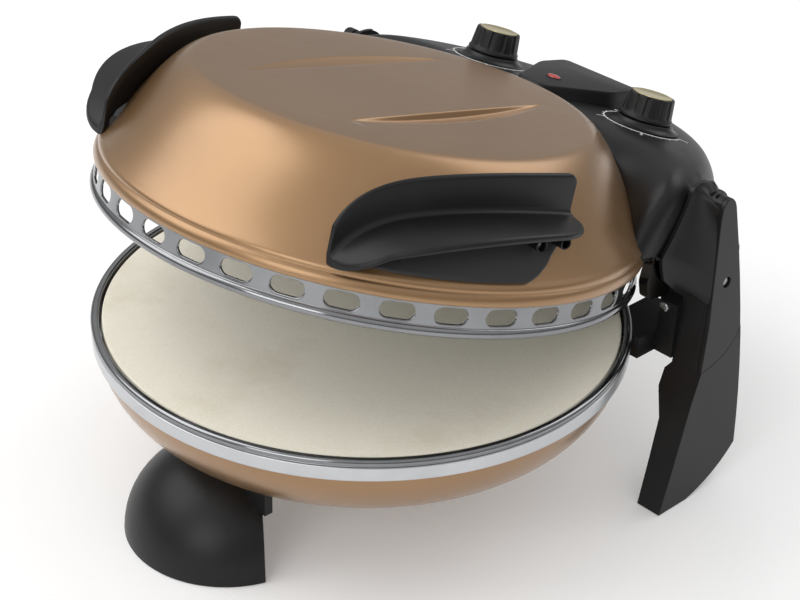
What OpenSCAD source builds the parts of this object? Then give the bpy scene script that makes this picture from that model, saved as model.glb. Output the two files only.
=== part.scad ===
// Countertop electric pizza maker.
// A domed lid on a floating rear hinge closes over a round baking stone.
// Origin on the table under the middle of the object, +Z up, front towards -Y.

/* [Base] */
// Diameter of the baking stone
stone_d = 310; // [306:1:312]
// Thickness of the baking stone
stone_t = 11; // [9:0.5:12]
// Outer diameter of the steel rim
rim_d = 323; // [322:0.5:325]
// Height of the top of the rim above the table
rim_top = 111; // [108:1:114]
// Height of the steel rim band
rim_h = 13.5; // [12:0.5:15]
// Depth of the bowl below the rim band
bowl_depth = 53; // [48:1:56]
// Diameter of the flat bottom of the bowl
bowl_floor_d = 150; // [130:1:170]
// Thickness of the pressed steel sheets
sheet_t = 1.2; // [1:0.1:1.5]

/* [Stand] */
// Radius of the ball-shaped front foot
foot_r = 62; // [58:1:66]
// Distance of the centre of the front foot from the axis of the stone
foot_back = 104; // [100:1:108]
// Distance of the outer faces of the rear legs from the middle
leg_out = 166; // [164:1:170]
// Height of the rear legs
leg_h = 203; // [200:1:206]
// Wall thickness of the plastic mouldings
wall_t = 3; // [2.5:0.5:3.5]

/* [Lid] */
// Outer diameter of the perforated ring
ring_d = 319.2; // [318:0.2:320]
// Number of vent slots
slot_count = 35; // [24:1:40]
// Length of one vent slot
slot_l = 18.6; // [12:0.1:20]
// Height of one vent slot
slot_h = 9.2; // [7:0.1:10]
// Diameter of the raised flat top of the dome
plateau_d = 240; // [232:1:246]
// Height of the dome above the flange
dome_h = 82.8; // [82:0.1:83.6]

/* [Hinge] */
// Distance of the hinge axis behind the axis of the stone
hinge_y = 167; // [167:0.5:168]
// Height of the hinge axis with the lid closed
hinge_z = 128.6; // [128:0.1:129]
// Opening angle of the lid as modelled
lid_open = 13; // [0:1:60]
// Lift of the floating hinge as modelled
lid_lift = 16; // [0:0.5:18]
// Longest lift of the floating hinge
lift_travel = 18; // [18:0.5:19]
// Diameter of the hinge shaft
shaft_d = 8; // [7:0.5:8]

/* [Handles] */
// Radius of the hand guards about the axis of the lid
guard_r = 138; // [137:0.5:140]
// Width of the grip shelf outside the guard
shelf_w = 26; // [22:1:27]
// Thickness of the guard and of the shelf
grip_t = 4; // [3:0.5:4.5]

/* [Controls] */
// Distance of the knobs from the middle
knob_x = 64.5; // [60:0.5:70]
// Distance of the knobs behind the axis of the lid
knob_y = 156; // [152:1:160]
// Diameter of the foot of a knob
knob_d = 33; // [30:0.5:36]
// Diameter of the top of a knob
knob_top_d = 28; // [25:0.5:30]
// Height of a knob
knob_h = 15; // [13:0.5:17]
// Diameter of a dial
dial_d = 51; // [46:1:54]

/* [Hidden] */

$fn = 96;
eps = 0.01;
far = 400;

copper = "#9c7350";
steel = "#c9ccd0";
black = "#2b2c2f";
cream = "#e3dccb";
gold = "#c4b68e";

// Levels and radii that follow from the driving dimensions
rim_r = rim_d / 2;
rim_low = rim_top - rim_h;
rim_in_r = stone_d / 2 + 1.6;
stone_z = rim_top - 1.5 - stone_t;
bowl_r = rim_r - 2.7;
bowl_z = rim_low - bowl_depth;
seat_gap = 0.8;
lid_z = rim_top + seat_gap;
ring_r = ring_d / 2;
plateau_r = plateau_d / 2;
hinge_h = hinge_z - lid_z;
tube_d = 6.5;
panel_slope = 4.9;
panel_h = 73.4;
plan_r = 150;
plan_y = 78;
house_y = 105;
house_x = 139;
leg_in = 142;
bracket_x = 129;
cheek_x = 136.5;
bracket_y = 120;
foot_cut_y = -126;
foot_cut_lean = 0.22;

// Everything is drawn about the axis of the stone, then moved so that the origin is in the middle
middle_y = 33.3;

module place() { translate([0, -middle_y, 0]) children(); }

// Points of a quadratic curve from a to c, drawn towards b
function curve(a, b, c, n = 10) =
    [for (i = [0:n]) let (t = i / n) (1 - t) * (1 - t) * a + 2 * t * (1 - t) * b + t * t * c];

// Points of an arc about c from angle a0 to a1
function arc(c, r, a0, a1, n = 8) =
    [for (i = [0:n]) let (a = a0 + (a1 - a0) * i / n) c + r * [cos(a), sin(a)]];

// Points of a cubic curve from a to d, drawn towards b and c
function long_curve(a, b, c, d, n = 18) =
    [for (i = [0:n]) let (t = i / n, u = 1 - t) u * u * u * a + 3 * t * u * u * b + 3 * t * t * u * c + t * t * t * d];

function backwards(list) = [for (i = [len(list) - 1:-1:0]) list[i]];

// Prism along X from x0 to x1 over a shape drawn in Y and Z
module along_x(x0, x1) {
    rotate([90, 0, 90]) translate([0, 0, x0]) linear_extrude(x1 - x0) children();
}

// Prism along Y from y0 to y1 over a shape drawn in X and Z
module along_y(y0, y1) {
    translate([0, y1, 0]) rotate([90, 0, 0]) linear_extrude(y1 - y0) children();
}

// Places the lid's own frame, whose origin is the middle of its flange plane
module in_lid() {
    translate([0, hinge_y, hinge_z + lid_lift]) rotate([-lid_open, 0, 0])
        translate([0, -hinge_y, -hinge_h]) children();
}

// Draws a right-hand shape on the chosen side: 1 right, -1 left
module on_side(side) {
    if (side > 0) children();
    else mirror([1, 0, 0]) children();
}

module at_panel(side) {
    translate([side * knob_x, knob_y, panel_h]) rotate([-panel_slope, 0, 0]) children();
}

// Screw with a domed head; the head sits on Z = 0 and the shank points down
module pan_screw(head_d, head_h, shank_d, shank_l) {
    rotate_extrude() polygon(concat(
        [[0, -shank_l], [shank_d / 2, -shank_l], [shank_d / 2, 0], [head_d / 2, 0]],
        curve([head_d / 2, head_h * 0.4], [head_d / 2, head_h], [0, head_h], 4)));
}

// ---- Base ----------------------------------------------------------------

bowl_outer = curve([bowl_r, rim_low - 0.5], [bowl_r - 6, bowl_z + 6], [bowl_floor_d / 2, bowl_z], 12);
bowl_inner = curve([bowl_r - sheet_t, rim_low - 0.5], [bowl_r - 6 - sheet_t, bowl_z + 6 + sheet_t],
                   [bowl_floor_d / 2, bowl_z + sheet_t], 12);

module bowl_solid(grow = 0) {
    rotate_extrude($fn = 120) polygon(concat(
        [for (p = bowl_outer) p + [grow, -grow]],
        [[0, bowl_z - grow], [0, rim_low], [bowl_r + grow, rim_low]]));
}

module base_bowl() {
    color(copper) difference() {
        rotate_extrude($fn = 120) polygon(concat(
            [[bowl_r, rim_low + 6]], bowl_outer, [[0, bowl_z], [0, bowl_z + sheet_t]],
            backwards(bowl_inner), [[bowl_r - sheet_t, rim_low + 6]]));
        for (side = [-1, 1]) translate([side * 30, foot_screw_y, bowl_z - 5]) cylinder(d = 4.2, h = 40);
    }
}

module base_rim() {
    bead_r = 2.4;
    color(steel) rotate_extrude($fn = 120) polygon(concat(
        [[bowl_r, rim_low], [rim_r - 0.9, rim_low], [rim_r - 0.3, rim_low + 0.8],
         [rim_r - 0.3, rim_top - 4.6], [rim_r - 1.1, rim_top - 4], [rim_r - 1.1, rim_top - 3.6]],
        arc([rim_r - bead_r, rim_top - bead_r], bead_r, -20, 90, 6),
        arc([rim_in_r + 1.6, rim_top - 1.6], 1.6, 90, 180, 4),
        [[rim_in_r, rim_top - 7], [rim_in_r + 1, rim_top - 7], [rim_in_r + 1, rim_top - 3.2],
         [bowl_r, rim_top - 4.5]]));
}

liner_z = stone_z - 28;

module base_liner() {
    r1 = bowl_r - sheet_t;
    color(steel) difference() {
        rotate_extrude($fn = 120) polygon(concat(
            [[r1, stone_z], [r1 - 12, stone_z]],
            curve([r1 - 14, stone_z - 4], [r1 - 18, liner_z + 1], [r1 - 36, liner_z + 1], 6),
            [[0, liner_z + 1], [0, liner_z]],
            curve([r1 - 36, liner_z], [r1 - 17, liner_z], [r1 - 13, stone_z - 4], 6),
            [[r1 - 11, stone_z - 1], [r1, stone_z - 1]]));
        for (side = [-1, 1]) translate([side * terminal_x, 100, element_z])
            rotate([-90, 0, 0]) cylinder(d = tube_d + 1.5, h = 60);
    }
}

element_z = liner_z + 13;
element_r = 105;
terminal_x = 24;

// Tubular heating element: one open ring whose ends run straight to the rear
module heating_ring(r, z, end_y) {
    a = asin(terminal_x / r);
    translate([0, 0, z]) {
        rotate([0, 0, 90 + a]) rotate_extrude(angle = 360 - 2 * a) translate([r, 0]) circle(d = tube_d, $fn = 24);
        for (side = [-1, 1]) translate([side * terminal_x, 0, 0]) rotate([-90, 0, 0]) {
            translate([0, 0, r * cos(a) - 2]) cylinder(d = tube_d, h = end_y - r * cos(a) + 2, $fn = 24);
            translate([0, 0, end_y - 1]) cylinder(d = 2.6, h = 9, $fn = 24);
        }
    }
}

module lower_element() { color("#5a5552") heating_ring(element_r, element_z, 138); }

clip_gap = 0.2;

// Clip that holds the element tube: a strap round the tube on a foot of the given height
module element_clip(r, foot_h) {
    for (a = [-30, 90, 210]) rotate([0, 0, a + 60]) translate([r, 0, 0]) difference() {
        union() {
            rotate([90, 0, 0]) cylinder(d = tube_d + 2.4, h = 7, center = true, $fn = 24);
            translate([-1, -3.5, foot_h > 0 ? 0 : foot_h]) cube([2, 7, abs(foot_h)]);
        }
        rotate([90, 0, 0]) cylinder(d = tube_d + clip_gap, h = 8, center = true, $fn = 24);
    }
}

module lower_element_clips() {
    color(steel) translate([0, 0, element_z]) element_clip(element_r, liner_z + 1 - element_z);
}

module baking_stone() {
    bevel = 1.2;
    r = stone_d / 2;
    color(cream) translate([0, 0, stone_z]) rotate_extrude($fn = 120) polygon([
        [0, 0], [r - bevel, 0], [r, bevel], [r, stone_t - bevel], [r - bevel, stone_t], [0, stone_t]]);
}

// ---- Stand ---------------------------------------------------------------

foot_screw_y = -113;
pad_t = 3;
pad_show = 0.6;
pad_angles = [-55, 0, 55];

// Ball of the front foot, a little flatter on top than a sphere, shrunk by t
module foot_ball(t = 0) {
    side_line = curve([foot_r - t, 0], [foot_r - 1 - t, 36 - t / 2], [foot_r * 0.26, 56 - t], 14);
    translate([0, -foot_back, 0]) rotate_extrude() polygon(concat(
        [[0, -5], [foot_r - t, -5]], side_line, [[0, foot_r - 4.5 - t]]));
}

// Scooped line of the cut at the rear of the foot, in Y and Z
foot_cut_end = [-103, 52];
foot_cut = concat(curve([-124.7, 0], [-125, 27], [-108.5, 46], 10), [foot_cut_end]);

// Width of the yoke under the bowl
foot_yoke = 97;

// Hollow ball-shaped scoop, cut open at the rear, with the cross web that carries the bowl
module front_foot() {
    web_y = foot_cut_y + 8;
    color(black) difference() {
        union() {
            intersection() {
                difference() {
                    foot_ball();
                    translate([0, 0, -1]) foot_ball(wall_t);
                }
                along_x(-far, far) polygon(concat(
                    [[-far, -10], [foot_cut[0][0], -10]], foot_cut, [[foot_cut_end[0], 100], [-far, 100]]));
            }
            intersection() {
                foot_ball(wall_t / 2);
                union() {
                    translate([-far, foot_cut_y + 4, 24]) cube([2 * far, wall_t, 40]);
                    for (x = [-18, 18]) translate([x - wall_t / 2, -far, 0]) cube([wall_t, far + web_y, 60]);
                }
                along_x(-far, far) polygon([
                    [-far, 10], [foot_cut_y, 10], [foot_cut_y + foot_cut_lean * 100, 110], [-far, 110]]);
            }
            intersection() {
                foot_ball(2);
                translate([-far, foot_cut_y + 7, 38]) cube([2 * far, 13, 30]);
            }
            translate([-foot_yoke / 2, -117, 38]) cube([foot_yoke, 5.6, 30]);
            intersection() {
                foot_ball(wall_t / 2);
                translate([0, -foot_back, 0]) difference() {
                    cylinder(r = foot_r + 2, h = pad_t + pad_show);
                    translate([0, 0, -1]) cylinder(r = foot_r - 8.5, h = pad_t + 2);
                }
                translate([-far, -far, 0]) cube([2 * far, far + foot_cut_y, 20]);
            }
        }
        bowl_solid();
        translate([-far, -far, -far]) cube([2 * far, 2 * far, far + pad_show]);
        for (side = [-1, 1]) translate([side * 30, foot_screw_y, 20]) cylinder(d = 4.2, h = 60);
        for (a = pad_angles) foot_pad_at(a) translate([0, 0, -1]) cylinder(d = 5, h = pad_t + 1);
    }
}

module foot_pad_at(a) {
    translate([0, -foot_back, 0]) rotate([0, 0, a - 90]) translate([foot_r - 5, 0, 0]) children();
}

module front_foot_screws() {
    color(steel) for (side = [-1, 1]) translate([side * 30, foot_screw_y, 36])
        rotate([180, 0, 0]) pan_screw(8, 2.6, 4.2, 16);
}

module foot_pads() {
    color("#141414") {
        for (side = [-1, 1]) translate([side * leg_pad[0], leg_pad[1], 0]) cylinder(d = 10, h = pad_t);
        for (a = pad_angles) foot_pad_at(a) cylinder(d = 5, h = pad_t);
    }
}

// Side outline of a rear leg, in Y and Z
module leg_side() {
    polygon(concat(
        [[95, pad_show], [121, pad_show]],
        curve([121, pad_show], [148, 7], [164.5, 24], 6),
        curve([164.5, 24], [163, 100], [139, leg_h - 11.5], 8),
        curve([139, leg_h - 11.5], [137, leg_h], [131, leg_h], 4),
        curve([131, leg_h], [125, leg_h], [124.5, leg_h - 11], 4),
        [[124.5, 122], [121.5, 89], [115, 70], [109, 48], [102.5, 25]]));
}

// Front outline of a rear leg, in X and Z; the outer face leans in towards the top
module leg_front() {
    polygon([[149, 0], [leg_out, 0], [leg_out - leg_lean, leg_h], [leg_in, leg_h],
             [leg_in, 89], [leg_in - 3.5, 84], [leg_in - 3.5, 73], [145.5, 55]]);
}

// Slab of thickness t under the leaning outer face, in X and Z
module outer_slab(t) {
    polygon([[leg_out - t, 0], [leg_out + 5, 0], [leg_out + 5, leg_h + 5],
             [leg_out - leg_lean - t, leg_h + 5], [leg_out - leg_lean - t, leg_h]]);
}

// Region of the leg that the upper outer cover takes, in Y and Z
module cover_region() {
    polygon(concat(curve([112, 90], [152, 90], [158, 116], 8), [[180, 150], [180, 230], [100, 230]]));
}

leg_lean = 5;
cover_t = 3;
leg_pad = [157.5, 108];
cover_screw = [137, 147];
screw_face_x = leg_out - leg_lean * cover_screw[1] / leg_h - cover_t + 0.1;
drum_at = [131.5, 186.5];

// Rounded shoulder on the inner side of the leg
module shoulder() {
    intersection() {
        translate([140.5, drum_at[0], drum_at[1]]) rotate([0, 90, 0]) cylinder(r = leg_h - drum_at[1], h = 8);
        along_x(0, far) polygon([[124.5, 100], [124.5, 190], [127, 197], [131, far], [far, far], [far, 100]]);
    }
}

// Grooves over the back of the shoulder
module shoulder_grooves() {
    for (x = [149, 152.5]) intersection() {
        difference() {
            translate([x, drum_at[0], drum_at[1]]) rotate([0, 90, 0]) cylinder(r = 40, h = 1.6);
            translate([x - 1, drum_at[0] - 3, drum_at[1]]) rotate([0, 90, 0]) cylinder(r = leg_h - drum_at[1] - 1.8, h = 4);
        }
        translate([0, drum_at[0] - 4, drum_at[1]]) cube([far, 40, 40]);
    }
}

module leg(side) {
    color(black) on_side(side) difference() {
        union() {
            intersection() {
                along_x(leg_in - 10, leg_out) leg_side();
                along_y(80, 180) leg_front();
            }
            shoulder();
        }
        shoulder_grooves();
        intersection() {
            along_x(0, far) cover_region();
            along_y(80, 200) outer_slab(cover_t);
        }
        translate([leg_in - 10, cover_screw[0], cover_screw[1]]) rotate([0, 90, 0]) cylinder(d = 3.6, h = 40);
        translate([leg_pad[0], leg_pad[1], -1]) cylinder(d = 10, h = pad_t + 1);
        leg_pocket();
    }
}

// Ribbed pocket on the inner side of the lower leg
module leg_pocket() {
    difference() {
        intersection() {
            along_x(leg_in - 20, leg_out - wall_t) polygon([[101, 8], [136, 10], [158, 28], [156, 68], [117, 68]]);
            along_y(80, 180) polygon([[120, 0], [leg_out - wall_t, 0], [leg_out - wall_t, 68], [120, 68]]);
        }
        for (z = [27, 47]) translate([0, 80, z]) cube([far, 100, 2]);
        translate([0, 128, 0]) cube([far, 2, 80]);
    }
}

module leg_cover(side) {
    color(black) on_side(side) difference() {
        intersection() {
            along_x(leg_in, leg_out) intersection() {
                leg_side();
                cover_region();
            }
            along_y(80, 200) difference() {
                outer_slab(cover_t);
                outer_slab(0);
            }
        }
        translate([leg_in, cover_screw[0], cover_screw[1]]) rotate([0, 90, 0]) cylinder(d = 6.6, h = 40);
    }
}

module leg_cover_screws() {
    color(steel) for (side = [-1, 1]) on_side(side)
        translate([screw_face_x, cover_screw[0], cover_screw[1]]) rotate([0, 90, 0])
            pan_screw(6.4, 1.8, 3.6, 12);
}

// Bracket that ties a rear leg to the rim band and guides the hinge shaft in a slot
module hinge_bracket(side) {
    slot_w = shaft_d + 0.12;
    low = hinge_z;
    high = hinge_z + lift_travel;
    rear_y = hinge_y + 8;
    color(black) on_side(side) difference() {
        union() {
            along_x(bracket_x, leg_in) polygon([
                [bracket_y, 92], [bracket_y, 128], [bracket_y + 5, 132.5], [rear_y, 132.5],
                [rear_y, 112], [rear_y - 16, 92]]);
            along_x(cheek_x, leg_in) polygon(concat(
                [[hinge_y - 12, 130], [rear_y, 130]],
                arc([hinge_y, high], 8.2, 0, 180, 10)));
            translate([100, 104, 92]) cube([bracket_x - 100 + eps, 46, 14]);
        }
        translate([0, 0, 80]) cylinder(r = rim_r - 0.3, h = 40, $fn = 120);
        for (z = [low - 0.15, high + 0.15]) translate([bracket_x - 1, hinge_y, z]) rotate([0, 90, 0])
            cylinder(d = slot_w, h = 10.5);
        translate([bracket_x - 1, hinge_y - slot_w / 2, low - 0.15]) cube([10.5, slot_w, lift_travel + 0.3]);
        translate([133, bracket_y + 8, 124]) rotate([90, 0, 0]) cylinder(d = 3.5, h = 20);
    }
}

module bracket_screws() {
    color(steel) for (side = [-1, 1]) on_side(side)
        translate([133, bracket_y, 124]) rotate([90, 0, 0]) pan_screw(6.5, 2, 3.5, 8);
}

// ---- Floating hinge shaft --------------------------------------------------

shaft_end = 137.5;
clip_x = 127;

module hinge_shaft() {
    color(steel) translate([-shaft_end, hinge_y, hinge_z + lid_lift]) rotate([0, 90, 0])
        difference() {
            cylinder(d = shaft_d, h = 2 * shaft_end);
            for (z = [shaft_end - clip_x - 1, shaft_end + clip_x]) translate([0, 0, z]) difference() {
                cylinder(d = shaft_d + 1, h = 1);
                cylinder(d = shaft_d - 2, h = 1);
            }
        }
}

module shaft_clips() {
    color(steel) for (side = [-1, 1]) on_side(side)
        translate([clip_x, hinge_y, hinge_z + lid_lift]) rotate([0, 90, 0]) difference() {
            cylinder(d = shaft_d + 5, h = 1);
            translate([0, 0, -1]) cylinder(d = shaft_d - 2, h = 3);
            translate([-far, -1.5, -1]) cube([far, 3, 3]);
        }
}

// ---- Lid -------------------------------------------------------------------

ring_top = 22;
bead_h = 18.6;
slot_z = 12.3;
upper_element_h = 32;

dome_outer = concat(
    [for (p = [[1.2, 0], [2, 1], [2.2, 2.6], [1.7, 4.8], [0.7, 6.4], [-0.1, 7],
               [0.1, 8], [-0.2, 9.6], [-1.4, 11.2]]) [ring_r, bead_h] + p],
    long_curve([ring_r - 2.2, bead_h + 12], [ring_r - 15.1, dome_h - 35.8], [plateau_r + 7.5, dome_h],
               [plateau_r - 7, dome_h]));

dome_inner = concat(
    [for (p = [[0, 0], [0, 4.4], [-1.3, 6.2], [-1.3, 9], [-2.6, 11]]) [ring_r, bead_h] + p],
    long_curve([ring_r - 3.4, bead_h + 11.5], [ring_r - 16.3, dome_h - 36.8],
               [plateau_r + 6.7, dome_h - sheet_t], [plateau_r - 7.4, dome_h - sheet_t]),
    [[0, dome_h - sheet_t]]);

// Radius of the inner face of the dome at height h
function inner_r_at(h) = lookup(h, [for (p = dome_inner) [p[1], p[0]]]);

// Everything inside the outer face of the dome, down to the flange plane
module dome_solid() {
    rotate_extrude($fn = 120) polygon(concat(
        [[0, -1], [ring_r + 2.2, -1], [ring_r + 2.2, bead_h + 1]], dome_outer, [[0, dome_h + 1]]));
}

crescent_x = 41;
crescent_bulge = 16;
crescent_half = 82;
crescent_depth = 4;

// Crescent between a chord and an arc, on the +X side of the plateau
module crescent(grow = 0) {
    arc_r = (crescent_half * crescent_half + crescent_bulge * crescent_bulge) / (2 * crescent_bulge);
    intersection() {
        translate([crescent_x + crescent_bulge - arc_r, 4]) circle(r = arc_r + grow);
        translate([crescent_x - grow, -far]) square([far, 2 * far]);
    }
}

// Wedge that is deepest along the chord and runs out at the arc; drop lowers its floor
module crescent_wedge(drop, grow) {
    intersection() {
        translate([0, 0, dome_h - 20]) linear_extrude(40) crescent(grow);
        along_y(-far, far) polygon([
            [crescent_x - grow, dome_h - crescent_depth - drop],
            [crescent_x + crescent_bulge + grow, dome_h - drop],
            [crescent_x + crescent_bulge + grow, dome_h + 5 - 6 * drop],
            [crescent_x - grow, dome_h + 5 - 6 * drop]]);
    }
}

module lid_dome() {
    color(copper) in_lid() difference() {
        union() {
            rotate_extrude($fn = 120) polygon(concat(dome_outer, [[0, dome_h]], backwards(dome_inner)));
            for (side = [-1, 1]) on_side(side) crescent_wedge(1, 1);
        }
        for (side = [-1, 1]) on_side(side) crescent_wedge(0, 0);
        for (side = [-1, 1]) translate([side * terminal_x, 140, upper_element_h])
            rotate([-90, 0, 0]) cylinder(d = tube_d + 1.5, h = 40);
        for (side = [-1, 1], a = screw_post_angles) on_side(side) post_at(a)
            translate([0, 0, 40]) cylinder(d = 3.6, h = 40, $fn = 24);
    }
}

module vent_ring() {
    hem_r = 3;
    color(steel) in_lid() difference() {
        rotate_extrude($fn = 120) polygon(concat(
            [[ring_r - 2.2, 0.6]], arc([ring_r - 1.3, hem_r], hem_r, -90, 64, 8),
            [[ring_r, 2 * hem_r - 0.2], [ring_r, ring_top], [ring_r - 1, ring_top],
             [ring_r - 1, 5.2], [ring_r - 2.2, 4]]));
        for (i = [0:slot_count - 1]) rotate([0, 0, i * 360 / slot_count]) translate([0, -ring_r, slot_z]) {
            for (x = [-1, 1]) translate([x * (slot_l - slot_h) / 2, 0, 0]) rotate([90, 0, 0])
                cylinder(d = slot_h, h = 8, center = true, $fn = 24);
            cube([slot_l - slot_h, 8, slot_h], center = true);
        }
    }
}

module lid_reflector() {
    t = 0.8;
    top = 46;
    color(steel) in_lid() difference() {
        rotate_extrude($fn = 120) polygon(concat(
            [[ring_r - 0.4, ring_top], [ring_r - 0.4, ring_top + t], [ring_r - 9, ring_top + t]],
            curve([ring_r - 10, ring_top + 2], [ring_r - 14, top + t], [118, top + t], 8),
            [[0, top + t], [0, top]],
            curve([118, top], [ring_r - 15, top], [ring_r - 11, ring_top + 1.5], 8),
            [[ring_r - 10, ring_top]]));
        for (side = [-1, 1]) translate([side * terminal_x, 120, upper_element_h])
            rotate([-90, 0, 0]) cylinder(d = tube_d + 1.5, h = 60);
    }
}

module upper_element() { color("#5a5552") in_lid() heating_ring(element_r, upper_element_h, 162); }

module upper_element_clips() {
    color(steel) in_lid() translate([0, 0, upper_element_h]) element_clip(element_r, 46 - upper_element_h);
}

// ---- Handles -----------------------------------------------------------------

guard_line = concat(
    curve([guard_r + 2.3, 0.6], [guard_r - 2, -46], [guard_r - 25, -87], 10),
    curve([guard_r - 25, -87], [guard_r - 37, -107], [guard_r - 41.5, -126.5], 6));
shelf_edge = concat(
    curve([guard_r + 1, 1], [guard_r + shelf_w - 2, 1], [guard_r + shelf_w, -25], 6),
    curve([guard_r + shelf_w, -25], [guard_r + shelf_w - 3.5, -87], [guard_r + shelf_w - 37, -113], 10),
    curve([guard_r + shelf_w - 37, -113], [guard_r + shelf_w - 46, -126.5], [guard_r + shelf_w - 65, -126.5], 6));
shelf_curve = curve([-126.5, 33], [-103, 71], [2, 60.5], 14);
guard_curve = curve([-126, 52], [-113, 88], [-4, 83], 12);

// Side outline, in Y and Z, of a band of height t that follows the shelf
module shelf_band(t) {
    polygon(concat(shelf_curve, [for (p = backwards(shelf_curve)) p - [0, t]]));
}

module guard_side() {
    polygon(concat(
        [for (p = shelf_curve) p - [0, grip_t]], [[2, 75], [1, 79.5], [-4, 83]],
        backwards(guard_curve), [[-126.5, 42]]));
}

// Shell that lies on the dome from its outer face outwards by t, between two angles
module dome_plate(t, a0, a1) {
    rotate([0, 0, a0]) rotate_extrude(angle = a1 - a0, $fn = 120) polygon(concat(
        [for (p = dome_outer) if (p[1] > 25) p + [t, 0.3 * t]],
        backwards([for (p = dome_outer) if (p[1] > 25) p])));
}

post_angles = [-41, -12, -6];
screw_post_angles = [-41, -12];
post_heights = [36, 50.5, 51];
post_out = 157;

// Frame of a post: +Z runs out from the axis of the lid at the post's height
module post_at(a) {
    h = lookup(a, [for (i = [0:2]) [post_angles[i], post_heights[i]]]);
    rotate([0, 0, a]) translate([0, 0, h]) rotate([0, 90, 0]) translate([0, 0, 80]) children();
}

module handle(side) {
    plate_low = 31;
    color(black) in_lid() on_side(side) difference() {
        union() {
            intersection() {
                linear_extrude(100) polygon(concat(
                    guard_line, [for (p = backwards(guard_line)) p - [grip_t * 0.85, -grip_t * 0.4]]));
                along_x(0, far) guard_side();
            }
            intersection() {
                linear_extrude(100) polygon(concat(shelf_edge, backwards([for (p = guard_line) p - [1.6, -0.8]])));
                along_x(0, far) shelf_band(grip_t);
            }
            intersection() {
                dome_plate(2.5, -46, 2);
                along_x(0, far) polygon(concat(
                    [for (p = shelf_curve) p - [0, 1]], [[-10, 48], [-18, 43], [-23, 38], [-30, 33.5],
                    [-36, plate_low], [-96, plate_low], [-104, 32]]));
            }
            for (a = post_angles) post_at(a) cylinder(d = 8.5, h = post_out - 80, $fn = 32);
            intersection() {
                for (a = post_angles) post_at(a) translate([-16, -1.5, 0]) cube([14, 3, post_out - 81]);
                along_x(0, far) polygon(concat([for (p = shelf_curve) p - [0, 1]], [[0, 30]]));
            }
        }
        dome_solid();
        for (a = screw_post_angles) post_at(a) cylinder(d = 3.5, h = post_out - 82, $fn = 24);
        for (a = post_angles) post_at(a) translate([0, 0, post_out - 82]) cylinder(d = 5.5, h = 10, $fn = 24);
    }
}

// Screws that hold the handles, entered from inside the dome
module handle_screws() {
    head_d = 7;
    head_t = 1.6;
    color(steel) in_lid() for (side = [-1, 1], i = [0:1]) on_side(side) {
        seat = inner_r_at(post_heights[i] + head_d / 2) - 80 - 0.2;
        post_at(screw_post_angles[i]) {
            translate([0, 0, seat - head_t]) cylinder(d = head_d, h = head_t, $fn = 24);
            translate([0, 0, seat - head_t]) cylinder(d = 3.5, h = post_out - 83 - seat + head_t, $fn = 24);
        }
    }
}

// ---- Control housing -----------------------------------------------------------

house_wall = 2.5;

function panel_at(y) = panel_h - (y - knob_y) * tan(panel_slope);

house_rear = plan_y + plan_r;

// Front of the housing from its lower edge, which hugs the dome, up to the panel, in Y and Z
skirt_low = 24.5;
skirt_line = concat(
    curve([71, skirt_low], [74, 38], [92, 50], 5), curve([92, 50], [103, 58], [106, 66], 4),
    curve([106, 66], [109, 76], [126, panel_at(126)], 5));

// Side outline of the housing, in Y and Z, set in by t
module house_side(t = 0, open = 0) {
    front = t > 0 ? [[house_y + t, 8.5 - open], [house_y + t, 60]] : [[house_y, 8.5], [house_y, skirt_low]];
    polygon(concat(
        front, [for (p = skirt_line) if (t == 0 || p[0] > house_y + 2) p + [t, -t]],
        [[house_rear, panel_at(house_rear) - t], [house_rear, 26 - open], [165, 8.5 - open]]));
}

// Front outline of the housing, in X and Z, set in by t
module house_front(t = 0, open = 0) {
    right = [[122 - t, -open], [124 - t, 14], [house_x - t, 58], [house_x - t, 100]];
    polygon(concat(right, [for (p = backwards(right)) [-p[0], p[1]]]));
}

// Round body of the housing, whose top edge rolls over into the rear wall, set in by t
module house_round(t = 0) {
    translate([0, plan_y, 0]) rotate_extrude($fn = 120) polygon(concat(
        [[0, -50], [plan_r - t, -50]],
        curve([plan_r - t, 40], [plan_r - 1 - t, 68 - t], [plan_r - 25, 74 - t], 8),
        [[60, 84 - t], [0, 84 - t]]));
}

module house_solid(t = 0, open = 0) {
    intersection() {
        along_x(-far, far) house_side(t, open);
        along_y(60, far) house_front(t, open);
        house_round(t);
    }
}

// Wings of the front end, whose rear edges lean back in front of the shoulders of the legs
wing_x = 140;
wing_rear = [[111, 71], [108, 64], [104.8, 49], [101, 35.4], [97.7, 29.6], [95.4, skirt_low]];

module house_wings() {
    intersection() {
        along_x(-wing_x, wing_x) polygon(concat([for (p = skirt_line) if (p[0] < wing_rear[0][0]) p], wing_rear));
        house_round();
    }
}

module boss_places() {
    for (p = [[94, 142], [114, 129]], side = [-1, 1]) translate([side * p[0], p[1], 0]) children();
}

module at_gland() {
    translate([0, plan_y, 0]) rotate([0, 0, 22]) translate([0, plan_r, 42]) rotate([-90, 0, 0]) children();
}

module control_housing() {
    color(black) in_lid() difference() {
        union() {
            difference() {
                union() {
                    house_solid();
                    house_wings();
                }
                house_solid(house_wall, 20);
            }
            intersection() {
                house_solid(house_wall / 2);
                boss_places() translate([0, 0, 8.5 + base_plate_t]) cylinder(d = 8, h = 90, $fn = 32);
            }
        }
        dome_solid();
        for (side = [-1, 1]) at_panel(side) translate([0, 0, -10]) cylinder(d = 10, h = 20);
        translate([-far, hinge_y, hinge_h]) rotate([0, 90, 0]) cylinder(d = shaft_d + 2, h = 2 * far);
        boss_places() cylinder(d = 3.5, h = 25, $fn = 24);
        at_gland() translate([0, 0, -10]) cylinder(d = 14, h = 20, $fn = 48);
    }
}

base_plate_t = 2;

// The space that the base plate takes or, with drop above zero, all that lies under its top
module base_wedge(drop) {
    polygon_top = [[house_y + house_wall, 8.5], [165, 8.5], [house_rear, 26]];
    along_x(-far, far) polygon(concat(
        [for (p = polygon_top) p - [0, drop]], [for (p = backwards(polygon_top)) p + [0, base_plate_t]]));
}

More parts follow.
